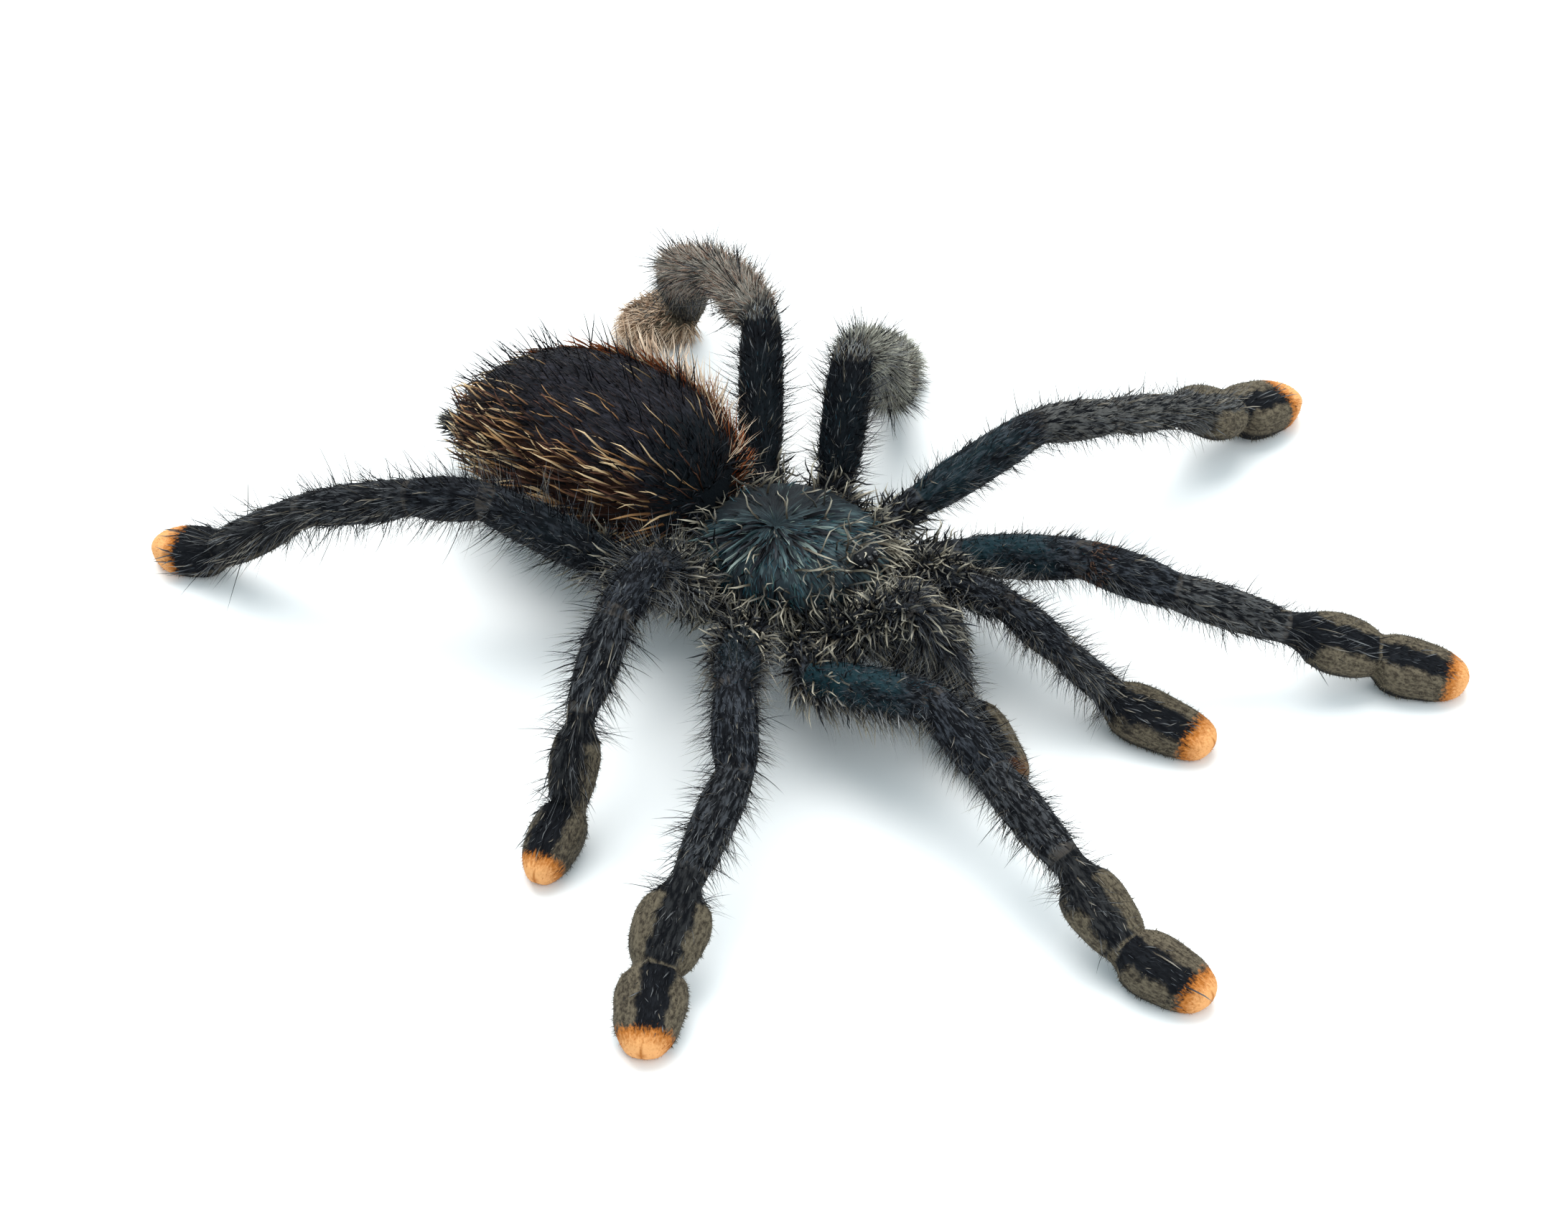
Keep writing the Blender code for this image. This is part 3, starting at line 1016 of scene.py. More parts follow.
@dataclass
class Limb:
    """One leg or palp: its pose, then how its skin and hair differ from those of the other limbs.

    Thigh is where the femur starts, from BODY. From there on each segment has its turn and its rise, but
    the last one's rise follows from TOE_Z. Sheen is the painted teal sheen on the femur's upper side, shag
    the share of bristles, toe the peach of the toe, fuzz the wool from the knee outwards, and pale the grey
    marks.
    Roll is how far the foot's black stripe lies to the side, stripe its width, pads the fullness beside it,
    curls how far out the coxa's tufts reach, ash the grey from ash_from to ash_to, and hanging the hair below
    the thigh. Girth and foot_girth are the skin's thickness as a share of the solid's.
    """

    name: str
    pair: Pair
    side: Side
    thigh: tuple[float, float, float]
    turns: tuple[int, ...]
    rises: tuple[int, ...]
    sheen: float = 0.3
    shag: float = 1.0
    toe: float = 1.0
    fuzz: float = 0.0
    fuzz_finish: Finish = Finish.FUZZ
    foot_finish: Finish = Finish.SANDY_HAIR
    pale: float = 1.0
    roll: float = 0.0
    stripe: float = 1.0
    pads: float = 1.0
    streaks: float = 0.1
    bristle_scale: float = 0.85
    curls: float = 10.5
    toe_start: float = TOE_START
    ash: float = 0.2
    ash_from: Part = Part.TIBIA
    ash_to: Part = Part.METATARSUS
    hanging: float = 0.0
    girth: float = 1.0
    foot_girth: float = 1.0
    rusty_knee: bool = False
    levels: int = 2
    swell: float = 0.06
    toe_taper: float = 0.16
    bristle_spots: int = 7000
    hair: LimbHair = LimbHair()

    @property
    def is_palp(self) -> bool:
        """True for a palp, which has no metatarsus."""
        return self.pair == Pair.PALP

    @property
    def slot(self) -> Slot:
        """Material slot of the limb."""
        return Slot.PALP if self.is_palp else Slot.LEG

    @property
    def fur_spots(self) -> int:
        """How many places its short fur may grow from."""
        return 6500 if self.is_palp else 9000 + int(7000 * self.fuzz)

    def joints(self) -> Array:
        """Place the joints.

        Returns:
            Points from the coxa's start to the toe's tip.
        """
        forward, lateral, z = self.pair.start
        points = [on_body(forward, lateral * self.side, z), BODY + np.array(self.thigh)]
        *upper, last = self.pair.lengths
        for length, turn, rise in zip(upper, self.turns, self.rises):
            climb = math.radians(rise)
            points.append(points[-1] + (level(turn) * math.cos(climb) + UP * math.sin(climb)) * length)
        drop = TOE_Z - points[-1][2]
        points.append(points[-1] + level(self.turns[-1]) * math.sqrt(last**2 - drop**2) + UP * drop)
        return np.array(points)

    def locate(self, points: Array) -> Where:
        """Find each point's segment and its place on it.

        Args:
            points: places in millimetres.

        Returns:
            Their places along, across and above the limb.
        """
        joints = self.joints()
        starts, steps = joints[:-1], np.diff(joints, axis=0)
        lengths = np.linalg.norm(steps, axis=1)
        tangents = steps / lengths[:, None]
        shares = np.einsum("nsk,sk->ns", points[:, None] - starts[None], tangents) / lengths
        held = np.clip(shares, 0, 1)
        nearest = starts[None] + steps[None] * held[..., None]
        index = np.linalg.norm(points[:, None] - nearest, axis=2).argmin(axis=1)
        rows = np.arange(len(points))
        tangent, share = tangents[index], held[rows, index]
        side = unit(np.cross(tangent, UP))
        up = np.cross(side, tangent)
        away = points - nearest[rows, index]
        before = np.concatenate([[0], np.cumsum(lengths)])[index]
        along = before + share * lengths[index]
        straight = np.stack([along, dot(away, side)[:, 0], dot(away, up)[:, 0]], axis=1)
        parts = [part for part in Part if not (self.is_palp and part == Part.METATARSUS)]
        return Where(np.array(parts)[index], share, tangent, side, up, straight)

    def pad_mask(self, where: Where) -> Array:
        """Find the woolly pads beside and under the foot.

        Args:
            where: places on the limb.

        Returns:
            How far each belongs to them.
        """
        wobble = 0.16 * np.sin(where.along * 2.3) + 0.1 * np.sin(where.along * 5.1)
        inner = np.where(where.part == Part.METATARSUS, 1.42, 1.36) * self.stripe
        beside = ramp(np.abs(where.across - self.roll) + wobble - inner, -0.5, 0.5) * self.pads
        under = ramp(-where.height, 1.1 - 0.6 * self.pads, 1.7 - 0.7 * self.pads)
        meta = (where.part == Part.METATARSUS) * ramp(where.share, 0.26, 0.34)
        ring = (where.part == Part.METATARSUS) * ramp(where.share, 0.92, 0.97) * 0.8 * self.pads
        return np.maximum(np.maximum(beside, under) * np.maximum(meta, where.part == Part.TARSUS), ring)

    def ashy(self, where: Where) -> Array:
        """Share of ash-grey at each point."""
        return self.ash * ((where.part >= self.ash_from) & (where.part <= self.ash_to))

    def puff(self, where: Where) -> Array:
        """Find how far the pads stand out sideways, fullest near their start.

        Args:
            where: places on the limb.

        Returns:
            The distance at each, to its own side.
        """
        share, meta = where.share, where.part == Part.METATARSUS
        heel = meta * ramp(share, 0.22, 0.34) * (1 - ramp(share, 0.40, 0.75))
        toe = (where.part == Part.TARSUS) * ramp(share, 0.03, 0.14) * (1 - ramp(share, 0.25, 0.6))
        neck = meta * ramp(share, 0.02, 0.14) * (1 - ramp(share, 0.20, 0.34))
        low = 1 - ramp(where.height, 0.2, 1.4)
        full = (heel * 0.35 + toe * 0.38 - neck * 0.4) * low * self.pads
        return full * ramp(np.abs(where.across), 0.3, 1.2) * np.sign(where.across)

    def slimmed(self, points: Array) -> Array:
        """Move the skin's points for the pads' fullness, the toe's narrow tip and the limb's girth.

        Args:
            points: the skin's points.

        Returns:
            Their new places.
        """
        where = self.locate(points)
        narrow = self.toe_taper * where.across * ramp(where.foot, 0.60, 0.95) * (not self.is_palp)
        end = ramp(where.reach, 3.7, 4.0)
        wider = where.across * ((self.girth - 1) * (1 - end) + (self.foot_girth - 1) * end)
        higher = where.height * (self.girth - 1) * (1 - end)
        return points + where.side * (self.puff(where) - narrow + wider)[:, None] + where.up * higher[:, None]

    def dress(self, kit: Kit) -> None:
        """Build the limb's skin, then its fur and bristles.

        Args:
            kit: solids, materials and source of chance.
        """
        skin = rounded_copy(kit.nodes[self.name], f"{self.name}_skin", self.levels, self.swell)
        points, _ = surface_of(skin)
        where = self.locate(points)
        move_points(skin, self.slimmed(points))
        pad = self.pad_mask(where)
        # Upper side of the femur, fading before the knee, where the teal is painted as a sheen.
        top = ramp(where.height, -1.2, 0.2) * (1 - ramp(where.share, 0.7, 0.95))
        layers = {
            "straight": where.straight,
            "along": where.reach,
            "foot": where.foot + TOE_START - self.toe_start,
            "pad": pad,
            # Painted sheen: the femur's teal on its upper side.
            "sheen": self.sheen * ((where.part == Part.FEMUR) * top),
            "membrane": (where.part >= Part.FEMUR) * 1.0,
            "pale": self.pale * np.where(where.part >= Part.METATARSUS, 0.15, 1.0),
            "ash": self.ashy(where),
            "toe": np.full(len(points), self.toe),
            "shag": self.fuzz * ramp(where.reach - Part.PATELLA, 0.0, 0.25),
            # Painted shade on the pads' underside.
            "rim": pad * ramp(-where.height, 1.1, 1.7) * (where.foot < 0.7),
            "slit": (1 - ramp(np.abs(where.across), 0.03, 0.14)) * ramp(where.foot, 0.90, 0.97),
        }
        clothe(skin, layers, kit.finishes[Finish.LIMB_SKIN])
        fit(skin, self.name)
        self.fur(skin, kit)
        self.bristles(skin, kit)

    def fur(self, skin: Piece, kit: Kit) -> None:
        """Grow the short pile with its pale marks, and the wool of the pads.

        Args:
            skin: what it grows on.
            kit: materials and source of chance.
        """
        spots = scatter(skin, self.fur_spots, kit.rng)
        where = self.locate(spots.points)
        coat = Coat(f"{self.name}_fur", kit, spots, where.tangent)
        pad = self.pad_mask(where) + kit.rng.normal(0, 0.2, len(spots))
        toe = ramp(where.foot + kit.rng.normal(0, 0.035, len(spots)) - self.toe_start, 0.0, 0.08)
        chance = kit.rng.random(len(spots))
        fuzzy = self.fuzz * ramp(where.reach - Part.PATELLA + kit.rng.normal(0, 0.08, len(spots)), 0.0, 0.2)
        fuzzy = fuzzy * (where.part <= Part.METATARSUS)
        joint = np.abs(where.share - np.rint(where.share)) * (where.part > Part.COXA)
        joint = joint + (where.part == Part.COXA)
        bare = (pad < 0.5) & (toe < 0.3) & ((joint > 0.018) | (chance > 0.7))
        self._pile(coat, where, bare, chance, fuzzy)
        self._marks(coat, where, bare, chance, fuzzy)
        fuzzed = bare & (kit.rng.random(len(spots)) < fuzzy)
        coat.grow(fuzzed, self.hair.shag, self.fuzz_finish)
        peach = toe * self.toe
        coat.grow((pad >= 0.5) & (peach < 0.5) & (chance < 0.9), self.hair.wool, Finish.PAD_FUR)
        tip = (peach >= 0.5) & (chance < 0.75 - 0.5 * ramp(where.foot, 0.8, 0.95))
        coat.grow(tip, self.hair.toe, Finish.TOE_FUR)
        coat.grow((where.part == Part.TARSUS) & (self.fuzz > 0), self.hair.tassel, self.foot_finish)
        fit(coat.build())

    def _pile(self, coat: Coat, where: Where, bare: Array, chance: Array, fuzzy: Array) -> None:
        """Grow the black, grey and ash-grey pile.

        Args:
            coat: the limb's fur.
            where: its places on the limb.
            bare: those off the pads and toe.
            chance: each place's own number from 0 to 1.
            fuzzy: how far each belongs to the woolly stretch.
        """
        pale = self.pale * np.where(where.part >= Part.METATARSUS, 0.22 + 0.6 * self.ashy(where) ** 2, 1.0)
        coat.grow(bare & (chance < (0.55 - 0.30 * pale) * (1 - fuzzy)), self.hair.pile, Finish.LIMB_FUR)
        light = bare & band(chance, 0.25, 0.32 * pale * (1 - fuzzy))
        ashen = light & (coat.kit.rng.random(len(chance)) < self.ashy(where))
        coat.grow(light & ~ashen, self.hair.pile, Finish.GREY_FUR)
        coat.grow(ashen, self.hair.pile, Finish.ASH_FUR)

    def _marks(self, coat: Coat, where: Where, bare: Array, chance: Array, fuzzy: Array) -> None:
        """Grow the rusty knee, the pale ring, the flecks and streaks, and the femur's painted teal sheen.

        Args:
            coat: the limb's fur.
            where: its places on the limb.
            bare: those off the pads and toe.
            chance: each place's own number from 0 to 1.
            fuzzy: how far each belongs to the woolly stretch.
        """
        femur = where.part == Part.FEMUR
        if self.rusty_knee:
            knee = (where.part == Part.PATELLA) & (where.share < 0.24)
            coat.grow(knee & (where.height > -0.8) & (where.across > -0.6), self.hair.knee, Finish.RUST_FUR)
        coat.grow(femur & (where.share > 0.96) & (self.fuzz > 0), self.hair.ring, Finish.PALE_HAIR)
        fleck = bare & band(chance, 0.60, 0.025 + 0.06 * self.is_palp) & (fuzzy < 0.5)
        coat.grow(fleck, self.hair.fleck, Finish.FLECK)
        streak = bare & band(chance, 0.69, 0.07 * self.streaks) & (where.part >= Part.TIBIA)
        coat.grow(streak, self.hair.streak, Finish.FLECK)
        # Painted sheen: teal hairs on the femur's upper side only.
        tinted = bare & band(chance, 0.72, 0.28 * self.sheen) & femur & (where.height > -0.4)
        coat.grow(tinted, self.hair.tint, Finish.TEAL_FUR)

    def bristles(self, skin: Piece, kit: Kit) -> None:
        """Grow long bristles, fine hair below and curly tufts round the coxa.

        Args:
            skin: what they grow on.
            kit: materials and source of chance.
        """
        spots = scatter(skin, self.bristle_spots, kit.rng)
        where = self.locate(spots.points)
        coat = Coat(f"{self.name}_bristles", kit, spots, where.tangent)
        chance = kit.rng.random(len(spots))
        bare = (self.pad_mask(where) < 0.5) & (where.foot < 0.28)
        shares = {Part.COXA: 0.04, Part.FEMUR: 0.10, Part.METATARSUS: 0.09, Part.TARSUS: 0.02}
        density = np.select([where.part == part for part in shares], list(shares.values()), 0.12)
        density = density * (1 + 0.8 * (self.fuzz > 0) * (where.part >= Part.PATELLA))
        reach = (0.5 + 0.75 * kit.rng.random(len(spots)) ** 2) * self.bristle_scale
        coat.grow(bare & (chance < density * self.shag), self.hair.bristle, Finish.BRISTLE, reach)
        upper = bare & (where.foot < 0.0)
        coat.grow(upper & (where.height < 1.0) & (chance > 0.72), self.hair.below, Finish.FINE_HAIR)
        coat.grow(upper & band(chance, 0.63, 0.09), self.hair.halo, Finish.FINE_HAIR, self.bristle_scale)
        if self.hanging:
            thigh = bare & (where.part <= Part.FEMUR) & (where.height < 0.2)
            coat.grow(thigh & (chance < 0.24 * self.hanging), self.hair.drop, Finish.PALE_HAIR)
            coat.grow(thigh & band(chance, 0.24, 0.46 * self.hanging), self.hair.veil, Finish.FINE_HAIR)
        root = where.along < self.curls * kit.rng.uniform(0.6, 1.3, len(spots))
        coat.grow(root & band(chance, 0.40, 0.18), self.hair.curl, Finish.TAN_HAIR)
        coat.grow(root & band(chance, 0.58, 0.18), self.hair.curl, Finish.LIMB_FUR)
        fit(coat.build())


LIMBS = (
    Limb(
        "leg_1_left", Pair.FIRST, Side.LEFT, (15.2, 2.0, 7.5), (-34, -9, -4, 2, -12), (24, -18, -20, -22),
        sheen=0.7, shag=0.6, roll=0.75, stripe=0.85, streaks=0.3, bristle_scale=0.75, curls=6.5,
        ash=0.6, ash_to=Part.TIBIA, rusty_knee=True,
    ),
    Limb(
        "leg_2_left", Pair.SECOND, Side.LEFT, (11.0, 7.8, 8.9), (26, 26, 42, 43, 35), (21, -12, -25, -28),
        sheen=0.4, shag=0.7, roll=0.95, stripe=0.85, streaks=0.7, bristle_scale=0.8, curls=6.5,
        toe_start=0.60, ash=1.0, ash_from=Part.PATELLA, girth=0.94,
    ),
    Limb(
        "leg_3_left", Pair.THIRD, Side.LEFT, (3.6, 11.1, 9.3), (77, 69, 61, 88, 95), (56, -31, -65, -26),
        sheen=0.1, toe=0.0, fuzz=1.0, fuzz_finish=Finish.OLIVE_FUZZ, foot_finish=Finish.OLIVE_FUZZ,
        pale=0.15, bristle_scale=1.0, curls=5.5,
    ),
    Limb(
        "leg_4_left", Pair.FOURTH, Side.LEFT, (-3.3, 13.2, 7.7), (90, 120, 120, 79, 195), (42, 5, -30, -56),
        sheen=0.1, toe=0.2, fuzz=1.0, pale=0.15, bristle_scale=1.1, curls=5.5,
    ),
    Limb(
        "leg_1_right", Pair.FIRST, Side.RIGHT, (1.2, -14.5, 7.5), (-34, -51, -59, -47, -35),
        (16, -19, -4, -30), sheen=0.9, roll=1.1, ash=0.25, hanging=1.0,
    ),
    Limb(
        "leg_2_right", Pair.SECOND, Side.RIGHT, (-5.0, -10.9, 8.9), (-92, -89, -114, -111, -98),
        (21, -18, -21, -27), sheen=0.2, roll=-0.4, bristle_scale=0.9, hanging=0.4,
    ),
    Limb(
        "leg_3_right", Pair.THIRD, Side.RIGHT, (-9.6, -4.4, 9.1), (-117, -116, -115, -108, -112),
        (49, -5, -40, -61), sheen=0.1, pads=0.65, roll=0.35, bristle_scale=1.1, hanging=0.5, foot_girth=0.88,
    ),
    Limb(
        "leg_4_right", Pair.FOURTH, Side.RIGHT, (-15.3, -0.5, 7.9), (175, 163, 164, 162, 160),
        (30, -11, -20, -38), sheen=0.1, pale=0.55, pads=0.0, streaks=0.7, bristle_scale=1.25, toe_start=0.5,
    ),
    Limb(
        "palp_left", Pair.PALP, Side.LEFT, (11.7, -1.1, 8.4), (-44, -39, -8, -27), (9, -19, -45),
        sheen=0.0, roll=0.9, curls=8.0, girth=0.86, foot_girth=1.04,
    ),
    Limb(
        "palp_right", Pair.PALP, Side.RIGHT, (3.5, -9.9, 8.2), (-27, 0, -5, -63), (43, -60, -76),
        sheen=0.0, toe=0.12, curls=15.0, girth=0.86, foot_girth=1.04,
    ),
)


# ---------------------------------------------------------------- body


@dataclass
class Cephalothorax:
    """Carapace with its fovea, grooves, eyes and fringe.

    Fovea and hill are places on the body. Each of eye_rows is a pair of eyes: how far forward of eye_middle
    and how far to the side they sit, and their radius. The slopes and leans say how the hill falls away under
    them and how they tilt, forward and sideways. Rays grow between the two distances of ray_zone.
    """

    node: str = "cephalothorax"
    levels: int = 3
    swell: float = 0.05
    fovea: tuple[float, float] = (-2.2, -0.3)
    grooves: int = 9
    groove_depth: float = 0.22
    pit_radius: float = 0.7
    pit_depth: float = 0.5
    rim_z: float = 9.2
    hill: tuple[float, float, float] = (7.6, 0.0, 13.2)
    eye_middle: float = 7.4
    eye_top: float = 13.42
    eye_slopes: tuple[float, float] = (0.28, 0.35)
    eye_leans: tuple[float, float] = (0.5, 0.6)
    eye_rows: tuple[tuple[float, float, float], ...] = (
        (0.75, 0.42, 0.36),
        (0.1, 0.9, 0.24),
        (0.75, 1.05, 0.26),
        (-0.25, 0.75, 0.2),
    )
    ray_zone: tuple[float, float] = (0.5, 4.0)
    spots: int = 9500
    lying: Hair = Hair((0.7, 1.7), 0.070, 5, 10, droop=0.10, taper=0.4)
    ray: Hair = Hair((2.4, 4.6), 0.19, 4, 6, droop=0.09, wave=0.35, steps=5, taper=0.4)
    loose: Hair = Hair((2.0, 4.2), 0.12, 10, 40, wave=0.6, droop=0.12, steps=4, taper=0.35)
    curl: Hair = Hair((1.4, 3.4), 0.12, 22, 52, droop=0.25, wave=0.55, steps=3, taper=0.35)
    skirt: Hair = Hair((2.0, 4.6), 0.07, 25, 26, bend=0.1, droop=0.2, wave=0.3)

    def _polar(self, points: Array) -> tuple[Array, Array, Array]:
        """Place points round the fovea.

        Args:
            points: places in millimetres.

        Returns:
            Their way out from it in plan, their distance, and their angle from the head.
        """
        away = points - on_body(*self.fovea, 0.0)
        away[:, 2] = 0.0
        angle = np.arctan2(away[:, 1], away[:, 0]) - math.radians(HEADING)
        return unit(away), np.linalg.norm(away, axis=1), angle

    def _from_hill(self, points: Array) -> Array:
        """Distance from the middle of the hill that carries the eyes."""
        return np.linalg.norm(points - on_body(*self.hill), axis=1)

    def dress(self, kit: Kit) -> None:
        """Build the skin with its grooves, then the hair and the eyes.

        Args:
            kit: solids, materials and source of chance.
        """
        skin = rounded_copy(kit.nodes[self.node], "carapace_skin", self.levels, self.swell)
        points, normals = surface_of(skin)
        outward, distance, angle = self._polar(points)
        top = ramp(points[:, 2], self.rim_z, self.rim_z + 1.2)
        furrow = np.maximum(0, np.cos(angle * self.grooves)) ** 6
        furrow = furrow * ramp(distance, 0.6, 2.0) * (1 - ramp(distance, 5.0, 7.5))
        pit = np.exp(-((distance / self.pit_radius) ** 2)) * self.pit_depth
        points = points - normals * ((furrow * self.groove_depth + pit) * top)[:, None]
        move_points(skin, points)
        # Painted shade below the rim and over the far half; the eye hill is dark in its own right.
        below = 1 - ramp(points[:, 2], self.rim_z - 0.8, self.rim_z + 0.4)
        far = ramp(outward[:, 1] * np.minimum(distance, 4.0), -0.5, 3.0) * 0.8
        hill = 1 - ramp(self._from_hill(points), 1.3, 2.1)
        layers = {
            "polar": np.stack([outward[:, 0], outward[:, 1], distance], axis=1),
            "shade_and_hill": np.maximum(np.maximum(below, far), hill),
        }
        clothe(skin, layers, kit.finishes[Finish.CARAPACE_SKIN])
        fit(skin, self.node)
        self._hair(skin, kit)
        self._eyes(kit)

    def _hair(self, skin: Piece, kit: Kit) -> None:
        """Grow flat pale hairs that fan out, and a curly fringe round the edge.

        Args:
            skin: what they grow on.
            kit: materials and source of chance.
        """
        spots = scatter(skin, self.spots, kit.rng)
        outward, distance, _ = self._polar(spots.points)
        z = spots.points[:, 2]
        chance = kit.rng.random(len(spots))
        flow = unit(outward + in_plan(0.25, 0.0) * ramp(distance, 4.0, 8.0)[:, None])
        coat = Coat("carapace_hair", kit, spots, flow)
        # How far each place faces the camera, belongs to the head, and has the fringe's near, fuller side.
        lit = ramp(-outward[:, 1] * np.minimum(distance, 3.0), -1.5, 1.0)
        head = ramp((spots.points - BODY) @ in_plan(1.0, 0.0), 3.6, 5.4)
        near = 0.12 + 0.88 * ramp(-outward[:, 1] + 0.6 * (distance > 7.0), -0.5, 0.4)
        top = (z > self.rim_z) & (spots.normals[:, 2] > 0.1)
        top &= self._from_hill(spots.points) > 1.5 * kit.rng.uniform(0.8, 1.2, len(spots))
        coat.grow(top & (chance < 0.06 + 0.14 * lit), self.lying, Finish.LIMB_FUR)
        pale = (0.02 + 0.20 * lit) * (1 - head)
        coat.grow(top & band(chance, 0.20, pale), self.lying, Finish.CARAPACE_FUR)
        coat.grow(top & band(chance, 0.43, 0.04 * head), self.lying, Finish.ASH_FUR)
        blue = lit * ramp(distance, 3.0, 5.0) * (1 - head)
        coat.grow(top & band(chance, 0.47, 0.10 * blue), self.lying, Finish.BLUE_FUR)
        ringed = top & (distance > self.ray_zone[0]) & (distance < self.ray_zone[1])
        coat.grow(ringed & band(chance, 0.58, 0.060 * lit**2), self.ray, Finish.RAY_HAIR)
        coat.grow(ringed & band(chance, 0.90, 0.060 * lit), self.ray, Finish.LIMB_FUR)
        coat.grow(top & (chance > 0.978 - 0.12 * head), self.loose, Finish.TAN_HAIR)
        edge = np.abs(z - self.rim_z - 0.5) < 1.7
        fringe = (distance > 4.2 + 1.2 * kit.rng.random(len(spots))) & edge
        coat.grow(fringe & band(chance, 0.64, 0.22 * near), self.curl, Finish.TAN_HAIR)
        coat.grow(fringe & band(chance, 0.86, 0.11 * near), self.curl, Finish.LIMB_FUR)
        wall = z < self.rim_z - 0.3
        coat.grow(wall & (z > 5.0) & (chance > 0.55), self.skirt, Finish.LIMB_FUR)
        coat.grow(wall & (z > 4.0) & (chance < 0.26), self.skirt, Finish.TAN_HAIR)
        fit(coat.build())

    @staticmethod
    def _bead() -> Piece:
        """Model one eye of unit radius, in metres: a dome that flares into its socket.

        Returns:
            The bead, standing on the origin with its dome upwards.
        """
        bpy.ops.object.select_all(action="DESELECT")
        bpy.ops.mesh.primitive_uv_sphere_add(segments=20, ring_count=12, radius=1.0, calc_uvs=False)
        bead = bpy.context.active_object
        bpy.ops.object.mode_set(mode="EDIT")
        bpy.ops.mesh.select_all(action="SELECT")
        bpy.ops.mesh.bisect(plane_co=(0, 0, -0.5), plane_no=(0, 0, 1), clear_inner=True, use_fill=True)
        bpy.ops.transform.resize(value=(1.45, 1.45, 1.0))
        bpy.ops.object.mode_set(mode="OBJECT")
        return bead

    def _eyes(self, kit: Kit) -> None:
        """Set eight beads on the hill, copied from one.

        Args:
            kit: materials.
        """
        pattern = self._bead()
        beads = []
        for forward, left, size in self.eye_rows:
            for sign in (1, -1):
                z = self.eye_top - self.eye_slopes[0] * forward**2 - self.eye_slopes[1] * left**2
                place = Vector(on_body(self.eye_middle + forward, left * sign, z)) * MM
                lean = Vector(in_plan(forward * self.eye_leans[0], left * sign * self.eye_leans[1]) + UP)
                turn = lean.to_track_quat("Z", "Y").to_matrix().to_4x4()
                bead = bpy.data.objects.new("eye", pattern.data.copy())
                bead.data.transform(Matrix.Translation(place) @ turn @ Matrix.Scale(size * MM, 4))
                bpy.context.scene.collection.objects.link(bead)
                beads.append(bead)
        bpy.data.objects.remove(pattern)
        bpy.ops.object.select_all(action="DESELECT")
        for bead in beads:
            bead.select_set(True)
        eyes = bpy.context.view_layer.objects.active = beads[0]
        bpy.ops.object.join()
        bpy.ops.object.shade_smooth()
        eyes.name = eyes.data.name = "eyes"
        eyes.data.materials.append(kit.finishes[Finish.EYE])
        fit(eyes)


